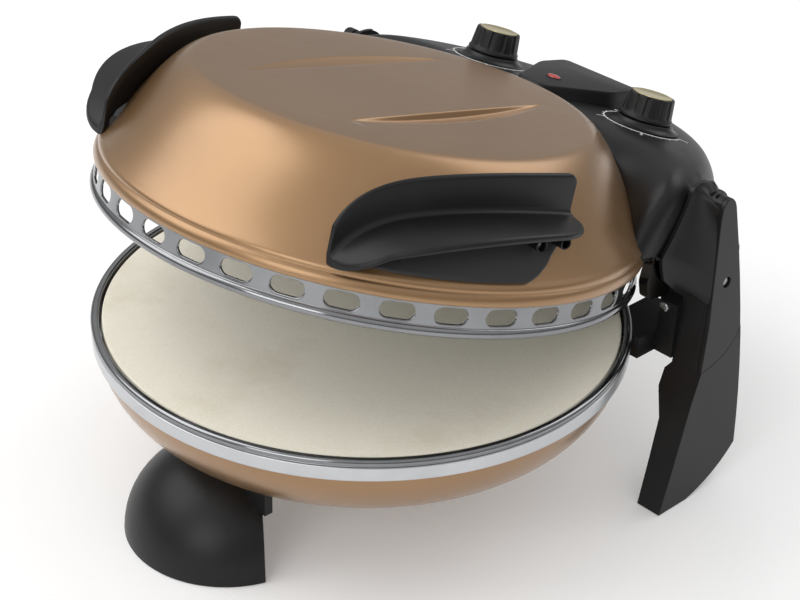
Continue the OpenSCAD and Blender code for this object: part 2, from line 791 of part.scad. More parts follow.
module housing_base() {
    color(black) in_lid() difference() {
        intersection() {
            base_wedge(0);
            house_solid(house_wall, 20);
        }
        dome_solid();
        boss_places() cylinder(d = 3.5, h = 60, $fn = 24);
    }
}

module housing_screws() {
    color(steel) in_lid() boss_places() translate([0, 0, 8.5]) rotate([180, 0, 0]) pan_screw(7, 2, 3.5, 14);
}

module hinge_arm(side) {
    arm_x = 104;
    color(steel) in_lid() on_side(side) difference() {
        along_x(arm_x, arm_x + 3) difference() {
            union() {
                translate([hinge_y, hinge_h]) circle(r = 8.5);
                polygon([[110, 13], [hinge_y, 13], [hinge_y + 6, hinge_h + 6], [150, 34], [135, 52], [118, 52]]);
            }
            translate([hinge_y, hinge_h]) circle(d = shaft_d + 0.12);
        }
        dome_solid();
        base_wedge(20);
    }
}

bridge_top = 83;
lamp_y = 142;

module lamp_outline(d, gap) {
    for (x = [-gap, gap]) translate([x, lamp_y]) circle(d = d, $fn = 32);
    translate([-gap, lamp_y - d / 2]) square([2 * gap, d]);
}

module control_bridge() {
    color(black) in_lid() difference() {
        intersection() {
            translate([0, 0, 60]) linear_extrude(bridge_top - 60)
                polygon([[-11, 117], [11, 117], [33, 164], [33, 192], [-33, 192], [-33, 164]]);
            along_y(0, far) polygon([[-36, 55], [36, 55], [31, bridge_top], [-31, bridge_top]]);
            along_x(-far, far) polygon([[110, 55], [120, bridge_top], [189, bridge_top], [194, 55]]);
        }
        house_solid();
        dome_solid();
        translate([0, 0, bridge_top - 4]) linear_extrude(10) lamp_outline(7.2, 2);
    }
}

module indicator_lamp() {
    color("#c22a1c") in_lid() {
        translate([0, 0, bridge_top - 4]) linear_extrude(4.6) lamp_outline(7, 2);
        translate([0, 0, bridge_top + 0.6]) linear_extrude(0.7) lamp_outline(5.4, 1.9);
    }
}

dial_t = 3.4;
knob_gap = 1.2;
cap_d = knob_top_d - 1.8;

module dial(side) {
    color("#222325") in_lid() at_panel(side) rotate_extrude() polygon([
        [5.2, 0], [dial_d / 2, 0], [dial_d / 2, dial_t - 1.4], [dial_d / 2 - 0.5, dial_t - 0.5],
        [dial_d / 2 - 1.6, dial_t], [5.2, dial_t]]);
}

spindle_d = 6;
spindle_out = 9;

// Spindle and threaded neck of a switch; its body hangs under the panel
module spindle() {
    translate([0, 0, -house_wall]) cylinder(d = 9, h = house_wall + 2);
    translate([0, 0, -house_wall]) cylinder(d = spindle_d, h = house_wall + dial_t + spindle_out);
}

module thermostat() {
    color(steel) in_lid() at_panel(1) {
        spindle();
        translate([-17, -15, -house_wall - 14]) cube([34, 30, 14]);
        translate([0, 0, -house_wall - 19]) cylinder(d = 22, h = 6);
    }
}

module timer() {
    color(steel) in_lid() at_panel(-1) {
        spindle();
        translate([0, 0, -house_wall - 20]) cylinder(d = 40, h = 20);
    }
}

module knob(side) {
    grips = 12;
    low = dial_t + knob_gap;
    color(black) in_lid() at_panel(side) translate([0, 0, low]) difference() {
        rotate_extrude() polygon([
            [0, 0], [knob_d / 2, 0], [knob_d / 2, 1.6], [knob_d / 2 - 0.8, 2.4],
            [knob_top_d / 2 + 0.4, knob_h - 1], [knob_top_d / 2 - 0.6, knob_h], [0, knob_h]]);
        for (i = [0:grips - 1]) rotate([0, 0, i * 360 / grips]) translate([knob_d / 2 + 2.6, 0, 3])
            cylinder(r = 3.6, h = knob_h, $fn = 24);
        translate([0, 0, knob_h - 0.8]) cylinder(d = cap_d, h = 2);
        translate([0, 0, -1]) cylinder(d = spindle_d + 0.1, h = 9.6);
    }
}

module knob_cap(side) {
    color(gold) in_lid() at_panel(side) translate([0, 0, dial_t + knob_gap + knob_h - 0.8]) difference() {
        cylinder(d = cap_d, h = 1.2);
        translate([-0.7, 5, 0.8]) cube([1.4, 6, 1]);
    }
}

module terminal_block() {
    color("#d8d4c8") in_lid() difference() {
        translate([-24, 180, 8]) cube([48, 12, 26]);
        base_wedge(40);
        for (x = [-16:8:16]) translate([x, 186, 24]) cylinder(d = 4, h = 20, $fn = 24);
    }
}

module cord_gland() {
    color(black) in_lid() difference() {
        union() {
            at_gland() translate([0, 0, -5]) cylinder(d = 14, h = 7, $fn = 48);
            difference() {
                at_gland() translate([0, 0, -2]) cylinder(d = 18, h = 5, $fn = 48);
                house_solid();
            }
        }
        at_gland() translate([0, 0, -10]) cylinder(d = 8, h = 20);
    }
}

place() base_bowl();
place() base_rim();
place() base_liner();
place() lower_element();
place() lower_element_clips();
place() baking_stone();
place() front_foot();
place() front_foot_screws();
place() foot_pads();
place() leg(-1);  // rear_leg_left
place() leg(1);  // rear_leg_right
place() leg_cover(-1);  // leg_cover_left
place() leg_cover(1);  // leg_cover_right
place() leg_cover_screws();
place() hinge_bracket(-1);  // hinge_bracket_left
place() hinge_bracket(1);  // hinge_bracket_right
place() bracket_screws();
place() hinge_shaft();
place() shaft_clips();
place() lid_dome();
place() vent_ring();
place() lid_reflector();
place() upper_element();
place() upper_element_clips();
place() handle(-1);  // handle_left
place() handle(1);  // handle_right
place() handle_screws();
place() control_housing();
place() housing_base();
place() housing_screws();
place() hinge_arm(-1);  // hinge_arm_left
place() hinge_arm(1);  // hinge_arm_right
place() control_bridge();
place() indicator_lamp();
place() dial(1);  // thermostat_dial
place() dial(-1);  // timer_dial
place() thermostat();
place() timer();
place() terminal_block();
place() cord_gland();
place() knob(1);  // thermostat_knob
place() knob_cap(1);  // thermostat_knob_cap
place() knob(-1);  // timer_knob
place() knob_cap(-1);  // timer_knob_cap
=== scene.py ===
"""Looks of a countertop electric pizza maker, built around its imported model."""

from __future__ import annotations

import logging
import math
from collections.abc import Callable, Iterable, Sequence
from dataclasses import dataclass, field
from enum import Enum

import bmesh
import bpy
import numpy as np
from mathutils import Matrix, Vector
from mathutils.geometry import delaunay_2d_cdt


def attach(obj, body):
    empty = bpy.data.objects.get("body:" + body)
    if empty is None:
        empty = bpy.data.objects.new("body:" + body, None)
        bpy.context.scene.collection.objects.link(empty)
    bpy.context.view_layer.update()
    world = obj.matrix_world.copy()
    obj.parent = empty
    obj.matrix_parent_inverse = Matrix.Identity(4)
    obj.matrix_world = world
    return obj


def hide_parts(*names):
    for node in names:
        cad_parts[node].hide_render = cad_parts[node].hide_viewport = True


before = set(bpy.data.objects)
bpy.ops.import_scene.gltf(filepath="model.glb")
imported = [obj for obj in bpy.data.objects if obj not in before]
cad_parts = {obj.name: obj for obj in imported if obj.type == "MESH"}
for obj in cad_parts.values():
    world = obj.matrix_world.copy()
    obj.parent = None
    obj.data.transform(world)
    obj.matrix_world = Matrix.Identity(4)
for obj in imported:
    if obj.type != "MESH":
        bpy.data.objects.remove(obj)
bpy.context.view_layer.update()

log = logging.getLogger("pizza_maker")

Pair = tuple[float, float]
Spot = tuple[float, float, float]
Colour = tuple[float, float, float]

MM = 0.001
MIDDLE_Y = 33.3
LID_HINGE_Y = 167.0
LID_HINGE_Z = 128.6
LID_OPEN = 13.0
LID_LIFT = 16.0
FLANGE_Z = 111.8
KNOB_X = 64.5
KNOB_Y = 156.0
PANEL_H = 73.4
PANEL_SLOPE = 4.9
ROUND_STEPS = 240
WHITE = (1.0, 1.0, 1.0, 1.0)


# ---- Frames -------------------------------------------------------------------


def table_frame() -> Matrix:
    """Returns the frame on the table under the axis of the stone, in millimetres."""
    return Matrix.Scale(MM, 4) @ Matrix.Translation((0, -MIDDLE_Y, 0))


def lid_frame() -> Matrix:
    """Returns the frame at the middle of the lid's flange plane, in millimetres."""
    hinge_h = LID_HINGE_Z - FLANGE_Z
    tilt = Matrix.Rotation(math.radians(-LID_OPEN), 4, "X")
    raised = Matrix.Translation((0, LID_HINGE_Y, LID_HINGE_Z + LID_LIFT))
    return table_frame() @ raised @ tilt @ Matrix.Translation((0, -LID_HINGE_Y, -hinge_h))


def panel_frame(side: int) -> Matrix:
    """Finds the frame on the control panel under the knob of one side.

    Args:
        side: 1 for the right knob and -1 for the left one.

    Returns:
        The frame, in millimetres.
    """
    spot = Matrix.Translation((side * KNOB_X, KNOB_Y, PANEL_H))
    return lid_frame() @ spot @ Matrix.Rotation(math.radians(-PANEL_SLOPE), 4, "X")


class Body(Enum):
    """The bodies that pieces ride on."""

    BASE = "base"
    LID = "lid"
    THERMOSTAT = "thermostat_knob_body"
    TIMER = "timer_knob_body"


class Side(Enum):
    """The two sides of the object."""

    RIGHT = 1
    LEFT = -1

    @property
    def word(self) -> str:
        """The side's name in piece names."""
        return "right" if self is Side.RIGHT else "left"

    @property
    def mirror(self) -> Matrix:
        """The matrix that carries a right-hand shape to this side."""
        return Matrix.Diagonal((self.value, 1, 1, 1))


# ---- Curves -------------------------------------------------------------------


def bend(a: Pair, b: Pair, c: Pair, count: int = 24) -> list[Pair]:
    """Points of a quadratic curve.

    Args:
        a: First point.
        b: Point that the curve is drawn towards.
        c: Last point.
        count: Number of steps.

    Returns:
        The points from a to c.
    """
    points = []
    for i in range(count + 1):
        t = i / count
        u = 1 - t
        points.append((u * u * a[0] + 2 * u * t * b[0] + t * t * c[0],
                       u * u * a[1] + 2 * u * t * b[1] + t * t * c[1]))
    return points


def round_arc(centre: Pair, radius: float, start: float, end: float, count: int = 8) -> list[Pair]:
    """Points of an arc, with its angles in degrees.

    Args:
        centre: Centre of the arc.
        radius: Radius.
        start: First angle.
        end: Last angle.
        count: Number of steps.

    Returns:
        The points from start to end.
    """
    angles = [math.radians(start + (end - start) * i / count) for i in range(count + 1)]
    return [(centre[0] + radius * math.cos(a), centre[1] + radius * math.sin(a)) for a in angles]


def long_bend(a: Pair, b: Pair, c: Pair, d: Pair, count: int = 40) -> list[Pair]:
    """Points of a cubic curve.

    Args:
        a: First point.
        b: Point that the curve leaves a towards.
        c: Point that the curve reaches d from.
        d: Last point.
        count: Number of steps.

    Returns:
        The points from a to d.
    """
    points = []
    for i in range(count + 1):
        t = i / count
        u = 1 - t
        shares = (u ** 3, 3 * t * u * u, 3 * t * t * u, t ** 3)
        points.append(tuple(sum(w * p[k] for w, p in zip(shares, (a, b, c, d))) for k in (0, 1)))
    return points


def shifted(points: Iterable[Pair], x: float, y: float) -> list[Pair]:
    """The points moved by x and y."""
    return [(p[0] + x, p[1] + y) for p in points]


def rounded(corners: Sequence[Pair], radius: float, count: int = 6) -> list[Pair]:
    """A closed outline with every corner rounded.

    Args:
        corners: The corners in order.
        radius: Distance from each corner at which its curve begins.
        count: Steps of each curve.

    Returns:
        The rounded outline.
    """
    outline = []
    total = len(corners)
    for i, corner in enumerate(corners):
        here = Vector(corner)
        back = Vector(corners[i - 1]) - here
        ahead = Vector(corners[(i + 1) % total]) - here
        reach = min(radius, back.length * 0.45, ahead.length * 0.45)
        first = here + back.normalized() * reach
        last = here + ahead.normalized() * reach
        outline += bend(tuple(first), corner, tuple(last), count)
    return outline


def along(points: Sequence[Pair], value: float) -> float:
    """Reads a curve at one place.

    Args:
        points: The curve's points, with their first numbers rising or falling.
        value: First number of the wanted place.

    Returns:
        The second number there, held at the curve's ends.
    """
    rows = sorted(points)
    if value <= rows[0][0]:
        return rows[0][1]
    for a, b in zip(rows, rows[1:]):
        if value <= b[0]:
            share = (value - a[0]) / max(b[0] - a[0], 1e-9)
            return a[1] + (b[1] - a[1]) * share
    return rows[-1][1]


def swapped(points: Iterable[Pair]) -> list[Pair]:
    """The points with their two numbers exchanged."""
    return [(p[1], p[0]) for p in points]


def soft_max(a: np.ndarray, b: np.ndarray, blend: float) -> np.ndarray:
    """The larger of two distances, with a rounded change between them."""
    share = np.maximum(blend - np.abs(a - b), 0.0) / blend
    return np.maximum(a, b) + share * share * blend * 0.25


def signed_gap(x: np.ndarray, y: np.ndarray, line: Sequence[Pair]) -> np.ndarray:
    """Distances of places from a line.

    Args:
        x: First numbers of the places.
        y: Second numbers of the places.
        line: Corners of the line, in order.

    Returns:
        The distances, positive on the left of the line.
    """
    best = np.full(x.shape, np.inf)
    signed = np.zeros(x.shape)
    for a, b in zip(line, line[1:]):
        run = b[0] - a[0]
        rise = b[1] - a[1]
        over = x - a[0]
        up = y - a[1]
        share = np.clip((over * run + up * rise) / (run * run + rise * rise), 0.0, 1.0)
        away = np.hypot(over - share * run, up - share * rise)
        left = np.where(run * up - rise * over >= 0, away, -away)
        signed = np.where(away < best, left, signed)
        best = np.minimum(away, best)
    return signed


def ease(value: float, low: float, high: float) -> float:
    """A smooth step from 0 at low to 1 at high."""
    t = min(max((value - low) / (high - low), 0.0), 1.0)
    return t * t * (3 - 2 * t)


# ---- Shader maths ---------------------------------------------------------------


class Number:
    """A socket that carries one number; arithmetic on it adds Math nodes."""

    def __init__(self, tree: "Tree", socket: bpy.types.NodeSocket) -> None:
        """Wraps a socket of a tree."""
        self.tree = tree
        self.socket = socket

    def _with(self, operation: str, first: "Number | float", second: "Number | float") -> "Number":
        """Adds one Math node and returns its result."""
        made = self.tree.node("ShaderNodeMath", {"operation": operation}, {0: first, 1: second})
        return Number(self.tree, made.outputs[0])

    def __add__(self, other: "Number | float") -> "Number":
        """Sum."""
        return self._with("ADD", self, other)

    __radd__ = __add__

    def __sub__(self, other: "Number | float") -> "Number":
        """Difference."""
        return self._with("SUBTRACT", self, other)

    def __rsub__(self, other: float) -> "Number":
        """Difference from a plain number."""
        return self._with("SUBTRACT", other, self)

    def __mul__(self, other: "Number | float") -> "Number":
        """Product."""
        return self._with("MULTIPLY", self, other)

    __rmul__ = __mul__

    def step(self, low: float, high: float, start: float = 0.0, end: float = 1.0) -> "Number":
        """Adds a smooth step.

        Args:
            low: Value up to which the result is start.
            high: Value from which the result is end.
            start: First result.
            end: Last result.

        Returns:
            The result of the step.
        """
        inputs = {"Value": self, "From Min": low, "From Max": high, "To Min": start, "To Max": end}
        made = self.tree.node("ShaderNodeMapRange", {"interpolation_type": "SMOOTHSTEP"}, inputs)
        return Number(self.tree, made.outputs[0])


class Tree:
    """A node tree, with one method that makes every node."""

    def __init__(self, tree: bpy.types.NodeTree) -> None:
        """Takes a tree and clears it."""
        self.tree = tree
        tree.nodes.clear()

    def node(self, kind: str, settings: dict | None = None, inputs: dict | None = None) -> bpy.types.Node:
        """Adds a node.

        Args:
            kind: Name of the node type.
            settings: Properties to set first.
            inputs: Values or links of the sockets, by name or number.

        Returns:
            The node.
        """
        made = self.tree.nodes.new(kind)
        for key, value in (settings or {}).items():
            setattr(made, key, value)
        for key, value in (inputs or {}).items():
            self.feed(made.inputs[key], value)
        return made

    def feed(self, socket: bpy.types.NodeSocket, value: object) -> None:
        """Sets a socket to a value or links it.

        Args:
            socket: The socket to feed.
            value: A plain value, a socket or a Number.
        """
        source = value.socket if isinstance(value, Number) else value
        if isinstance(source, bpy.types.NodeSocket):
            self.tree.links.new(source, socket)
        else:
            socket.default_value = source


class Recipe(Tree):
    """The node tree of one material, with its shader and output."""

    def __init__(self, name: str) -> None:
        """Starts a material.

        Args:
            name: The material's name.
        """
        self.material = bpy.data.materials.new(name)
        self.material.use_nodes = True
        super().__init__(self.material.node_tree)
        self.shader = self.node("ShaderNodeBsdfPrincipled")
        self.output = self.node("ShaderNodeOutputMaterial", {}, {"Surface": self.shader.outputs[0]})

    def set(self, **values: object) -> None:
        """Feeds the shader's sockets; an underscore stands for a space in a name."""
        for key, value in values.items():
            self.feed(self.shader.inputs[key.replace("_", " ")], value)

    def place(self) -> bpy.types.NodeSocket:
        """Returns the position on the piece, in metres, which moves with the piece."""
        return self.node("ShaderNodeTexCoord").outputs["Object"]

    def noise(self, scale: float, detail: float = 3.0, rough: float = 0.5,
              stretch: Sequence[float] | None = None) -> Number:
        """Adds a noise texture.

        Args:
            scale: Cells per metre.
            detail: Octaves.
            rough: Strength of the finer octaves.
            stretch: Scale along each axis, for drawn-out marks.

        Returns:
            The noise's height, about 0.5 on average.
        """
        where = self.place()
        if stretch:
            where = self.node("ShaderNodeMapping", {}, {"Vector": where, "Scale": stretch}).outputs[0]
        inputs = {"Vector": where, "Scale": scale, "Detail": detail, "Roughness": rough}
        return Number(self, self.node("ShaderNodeTexNoise", {}, inputs).outputs[0])

    def cells(self, scale: float) -> Number:
        """Adds a cell texture and returns the distance in it."""
        inputs = {"Vector": self.place(), "Scale": scale}
        return Number(self, self.node("ShaderNodeTexVoronoi", {}, inputs).outputs[0])

    def mix(self, share: Number | float, first: object, second: object) -> bpy.types.NodeSocket:
        """Mixes two colours.

        Args:
            share: 0 for the first and 1 for the second.
            first: A colour or a link.
            second: A colour or a link.

        Returns:
            The mixed colour.
        """
        ends = [end if isinstance(end, bpy.types.NodeSocket) else (*end, 1.0) for end in (first, second)]
        inputs = {0: share, 6: ends[0], 7: ends[1]}
        return self.node("ShaderNodeMix", {"data_type": "RGBA"}, inputs).outputs[2]

    def bump(self, height: Number, depth_mm: float,
             below: bpy.types.NodeSocket | None = None) -> bpy.types.NodeSocket:
        """Adds a bump.

        Args:
            height: Height field, 0 to 1.
            depth_mm: Height in millimetres that 1 stands for.
            below: Normal of a coarser bump under this one.

        Returns:
            The bumped normal.
        """
        inputs = {"Height": height, "Distance": depth_mm * MM, "Strength": 1.0}
        if below is not None:
            inputs["Normal"] = below
        return self.node("ShaderNodeBump", {}, inputs).outputs[0]


def tint(red: int, green: int, blue: int) -> Colour:
    """A screen colour, 0 to 255 each, as the linear colour that shaders take."""
    shares = [c / 255 for c in (red, green, blue)]
    return tuple(s / 12.92 if s <= 0.04045 else ((s + 0.055) / 1.055) ** 2.4 for s in shares)


# ---- Finishes -------------------------------------------------------------------


@dataclass(frozen=True)
class Finish:
    """A surface finish; each kind writes its own recipe."""

    name: str
    slot: str

    def material(self) -> bpy.types.Material:
        """Returns the finish's material, made at its first use."""
        known = bpy.data.materials.get("finish_" + self.name)
        if known:
            return known
        recipe = Recipe("finish_" + self.name)
        self.write(recipe)
        return recipe.material

    def write(self, recipe: Recipe) -> None:
        """Writes the nodes of the finish; each kind has its own.

        Args:
            recipe: The node tree to write.
        """
        raise NotImplementedError


@dataclass(frozen=True)
class MetallicPaint(Finish):
    """Sprayed metallic paint: flakes under a thin clear coat."""

    colour: Colour
    shade: Colour
    roughness: float = 0.36
    metallic: float = 0.72

    def write(self, recipe: Recipe) -> None:
        """Fine flakes, a slow drift of tone and the slight orange peel of spray.

        Args:
            recipe: The node tree to write.
        """
        flakes = recipe.noise(5200, 2.0, 0.6)
        drift = recipe.noise(9, 3.0)
        grime = recipe.noise(60, 6.0, 0.7)
        tone = flakes.step(0.32, 0.70) * 0.30 + drift.step(0.30, 0.72) * 0.28
        body = recipe.mix(tone, self.colour, self.shade)
        recipe.set(Base_Color=body, Metallic=self.metallic, IOR=1.5)
        recipe.set(Roughness=flakes * 0.10 + grime.step(0.45, 0.8) * 0.05 + (self.roughness - 0.07))
        recipe.set(Coat_Weight=0.70, Coat_Roughness=0.27)
        peel = recipe.bump(recipe.noise(420, 2.0), 0.006)
        recipe.set(Normal=recipe.bump(flakes, 0.0012, peel))


@dataclass(frozen=True)
class RolledSteel(Finish):
    """Pressed and polished sheet steel with faint drawing lines and smudges."""

    colour: Colour
    shade: Colour
    roughness: float
    grain: float = 0.004

    def write(self, recipe: Recipe) -> None:
        """Hairlines that run round the piece, with dull smudges.

        Args:
            recipe: The node tree to write.
        """
        lines = recipe.noise(260, 3.0, 0.6, (1, 1, 26))
        smudge = recipe.noise(22, 5.0, 0.65).step(0.44, 0.74)
        drift = recipe.noise(7, 2.0)
        recipe.set(Base_Color=recipe.mix(drift * 0.5 + smudge * 0.2, self.colour, self.shade))
        recipe.set(Metallic=1.0, Roughness=lines * 0.07 + smudge * 0.08 + (self.roughness - 0.04))
        recipe.set(Normal=recipe.bump(lines, self.grain))


@dataclass(frozen=True)
class MouldedPlastic(Finish):
    """Black moulded plastic with a fine spark-eroded grain."""

    colour: Colour
    roughness: float
    grain_mm: float = 0.010
    grain_scale: float = 1500.0

    def write(self, recipe: Recipe) -> None:
        """Fine grain, slow drift of gloss and a few dull rubs.

        Args:
            recipe: The node tree to write.
        """
        grain = recipe.noise(self.grain_scale, 3.0, 0.6)
        rubs = recipe.noise(34, 5.0, 0.7, (1, 1, 0.4)).step(0.52, 0.80)
        drift = recipe.noise(12, 2.0)
        lighter = tuple(c * 1.9 + 0.004 for c in self.colour)
        recipe.set(Base_Color=recipe.mix(rubs * 0.35 + drift * 0.25, self.colour, lighter))
        recipe.set(Roughness=grain * 0.10 + rubs * 0.07 + drift * 0.06 + (self.roughness - 0.10))
        recipe.set(IOR=1.38)
        recipe.set(Normal=recipe.bump(grain, self.grain_mm))


@dataclass(frozen=True)
class FiredStone(Finish):
    """Cordierite baking stone: cream, matt, with fine pores and baked-on tone."""

    colour: Colour
    shade: Colour
    baked: Colour

    def write(self, recipe: Recipe) -> None:
        """Pores, coarse grains and soft toasting.

        Args:
            recipe: The node tree to write.
        """
        pores = recipe.cells(900).step(0.05, 0.30)
        grains = recipe.noise(700, 4.0, 0.7)
        toast = recipe.noise(14, 5.0, 0.6).step(0.50, 0.82)
        ground = recipe.mix(grains.step(0.35, 0.75) * 0.6, self.colour, self.shade)
        marked = recipe.mix(toast * 0.35, ground, self.baked)
        recipe.set(Base_Color=recipe.mix((1 - pores) * 0.35, marked, self.baked))
        recipe.set(Roughness=grains * 0.1 + 0.78)
        rough = recipe.bump(grains, 0.05)
        recipe.set(Normal=recipe.bump(pores, 0.06, rough))


@dataclass(frozen=True)
class SpunDisc(Finish):
    """Anodised aluminium disc, turned on a lathe."""

    colour: Colour
    shade: Colour

    def write(self, recipe: Recipe) -> None:
        """Brushed grain with a slow change of tone.

        Args:
            recipe: The node tree to write.
        """
        brushed = recipe.noise(900, 3.0, 0.7, (1, 14, 1))
        recipe.set(Base_Color=recipe.mix(brushed.step(0.3, 0.7) * 0.5, self.colour, self.shade))
        recipe.set(Metallic=0.9, Roughness=brushed * 0.14 + 0.26)
        recipe.set(Normal=recipe.bump(brushed, 0.004))


@dataclass(frozen=True)
class ClearPlastic(Finish):
    """Coloured lens plastic, glossy, with soft swirls."""

    colour: Colour

    def write(self, recipe: Recipe) -> None:
        """Slow swirls in the colour and a clean gloss.

        Args:
            recipe: The node tree to write.
        """
        swirl = recipe.noise(500, 3.0)
        darker = tuple(c * 0.55 for c in self.colour)
        tone = recipe.mix(swirl.step(0.3, 0.7), self.colour, darker)
        recipe.set(Base_Color=tone, Roughness=swirl * 0.05 + 0.14, IOR=1.49)
        recipe.set(Coat_Weight=0.6, Coat_Roughness=0.06)
        recipe.set(Normal=recipe.bump(swirl, 0.02))


@dataclass(frozen=True)
class PlainMatt(Finish):
    """Matt material such as rubber, printing ink or the sheath of a heating element."""

    colour: Colour
    shade: Colour
    roughness: float
    grain: float = 0.02
    scale: float = 900.0
    metallic: float = 0.0

    def write(self, recipe: Recipe) -> None:
        """Even grain and a little drift of tone.

        Args:
            recipe: The node tree to write.
        """
        grain = recipe.noise(self.scale, 3.0, 0.6)
        drift = recipe.noise(30, 3.0)
        tone = drift.step(0.3, 0.7) * 0.6 + grain * 0.2
        recipe.set(Base_Color=recipe.mix(tone, self.colour, self.shade))
        recipe.set(Metallic=self.metallic, Roughness=grain * 0.12 + (self.roughness - 0.06))
        recipe.set(Normal=recipe.bump(grain, self.grain))


COPPER = MetallicPaint("copper_paint", "copper_paint", tint(163, 127, 88), tint(132, 98, 62))
RIM_STEEL = RolledSteel("rim_steel", "polished_steel", tint(208, 209, 211), tint(168, 170, 173), 0.30)
# Darker copy of the polished steel, used on the rim bead and the vent ring: painted dark reflection in the
# polished steel.
DARK_REFLECTION_STEEL = RolledSteel("steel_painted_dark_reflection", "polished_steel", tint(150, 151, 153), tint(92, 93, 95), 0.12)
INNER_STEEL = RolledSteel("inner_steel", "bright_steel", tint(190, 192, 194), tint(140, 142, 144), 0.28)
SCREW_STEEL = RolledSteel("screw_steel", "bright_steel", tint(160, 161, 163), tint(110, 111, 113), 0.24)
BLACK_STEEL = RolledSteel("black_steel", "bright_steel", tint(46, 43, 40), tint(30, 28, 26), 0.20)
SHEATH = PlainMatt("element_sheath", "element_sheath", tint(92, 84, 78), tint(60, 56, 56), 0.45, scale=700,
                   metallic=0.8)
STONE = FiredStone("baking_stone", "stone", tint(252, 246, 229), tint(242, 234, 214), tint(210, 193, 163))
PLASTIC = MouldedPlastic("black_plastic", "black_plastic", tint(17, 17, 18), 0.42)
# Lighter copy of the black plastic for the handle saddles, which are the same plastic: painted light that
# lifts them out of the shade under the shelf.
LIT_SADDLE_PLASTIC = MouldedPlastic("saddle_plastic_painted_light", "black_plastic", tint(50, 50, 51), 0.40)
KNOB_PLASTIC = MouldedPlastic("knob_plastic", "black_plastic", tint(18, 18, 18), 0.46, 0.014, 1200)
DIAL_PLASTIC = MouldedPlastic("dial_plastic", "black_plastic", tint(20, 20, 21), 0.38, 0.005)
RUBBER = PlainMatt("pad_rubber", "pad_rubber", tint(26, 26, 26), tint(38, 37, 36), 0.82, 0.03, 1100)
GOLD = SpunDisc("gold_disc", "gold_disc", tint(206, 194, 150), tint(172, 160, 120))
LENS = ClearPlastic("red_lens", "red_lens", tint(196, 40, 30))
PALE = PlainMatt("pale_plastic", "pale_plastic", tint(216, 211, 198), tint(190, 184, 170), 0.5, 0.01)
INK = PlainMatt("white_ink", "pale_plastic", tint(226, 226, 224), tint(200, 200, 198), 0.6, 0.004)


# ---- Meshes -----------------------------------------------------------------------


@dataclass
class Form:
    """The points, in millimetres, and the faces of a piece while it is drawn."""

    points: list[Vector] = field(default_factory=list)
    faces: list[tuple[int, ...]] = field(default_factory=list)

    def ring(self, points: Iterable[Sequence[float]]) -> list[int]:
        """Adds points.

        Args:
            points: The points, in order.

        Returns:
            Their numbers.
        """
        start = len(self.points)
        self.points += [Vector(p) for p in points]
        return list(range(start, len(self.points)))

    def strip(self, first: Sequence[int], second: Sequence[int], closed: bool = True) -> None:
        """Joins two rows of points with quads.

        Args:
            first: Numbers of the first row.
            second: Numbers of the second row, as many.
            closed: Whether the rows are loops.
        """
        total = len(first)
        for i in range(total if closed else total - 1):
            j = (i + 1) % total
            self.faces.append((first[i], first[j], second[j], second[i]))

    def loft(self, rows: Sequence[Sequence[Sequence[float]]], closed: bool = True,
             ends: bool = True, looped: bool = False) -> "Form":
        """Skins a series of rows.

        Args:
            rows: Rows of points, with the same number in each.
            closed: Whether each row is a loop.
            ends: Whether the first and last loops are filled.
            looped: Whether the last row joins the first.

        Returns:
            This form.
        """
        numbers = [self.ring(row) for row in rows]
        for a, b in zip(numbers, numbers[1:]):
            self.strip(a, b, closed)
        if looped:
            self.strip(numbers[-1], numbers[0], closed)
        elif ends:
            self.faces += [tuple(reversed(numbers[0])), tuple(numbers[-1])]
        return self

    def lathe(self, profile: Sequence[Pair], steps: int = 180, closed: bool = True,
              shape: Callable[[float, float, float], float] | None = None) -> "Form":
        """Turns a profile about the Z axis.

        Args:
            profile: Radius and height of each point.
            steps: Steps round the axis.
            closed: Whether the profile is a closed outline.
            shape: Gives the radius from the radius, the height and the angle.

        Returns:
            This form.
        """
        rows = []
        for i in range(steps):
            angle = math.tau * i / steps
            row = []
            for radius, height in profile:
                r = shape(radius, height, angle) if shape else radius
                row.append((r * math.cos(angle), r * math.sin(angle), height))
            rows.append(row)
        return self.loft(rows, closed, False, True)

    def block(self, low: Sequence[float], high: Sequence[float]) -> "Form":
        """Adds a box between two corners and returns this form."""
        flat = [(low[0], low[1]), (high[0], low[1]), (high[0], high[1]), (low[0], high[1])]
        return self.loft([[(x, y, z) for x, y in flat] for z in (low[2], high[2])])

    def turned(self, matrix: Matrix) -> "Form":
        """Carries every point by a matrix and returns this form."""
        self.points = [matrix @ p for p in self.points]
        return self

    def plus(self, other: "Form") -> "Form":
        """Adds another form's points and faces.

        Args:
            other: The other form.

        Returns:
            This form.
        """
        start = len(self.points)
        self.points += other.points
        self.faces += [tuple(i + start for i in face) for face in other.faces]
        return self


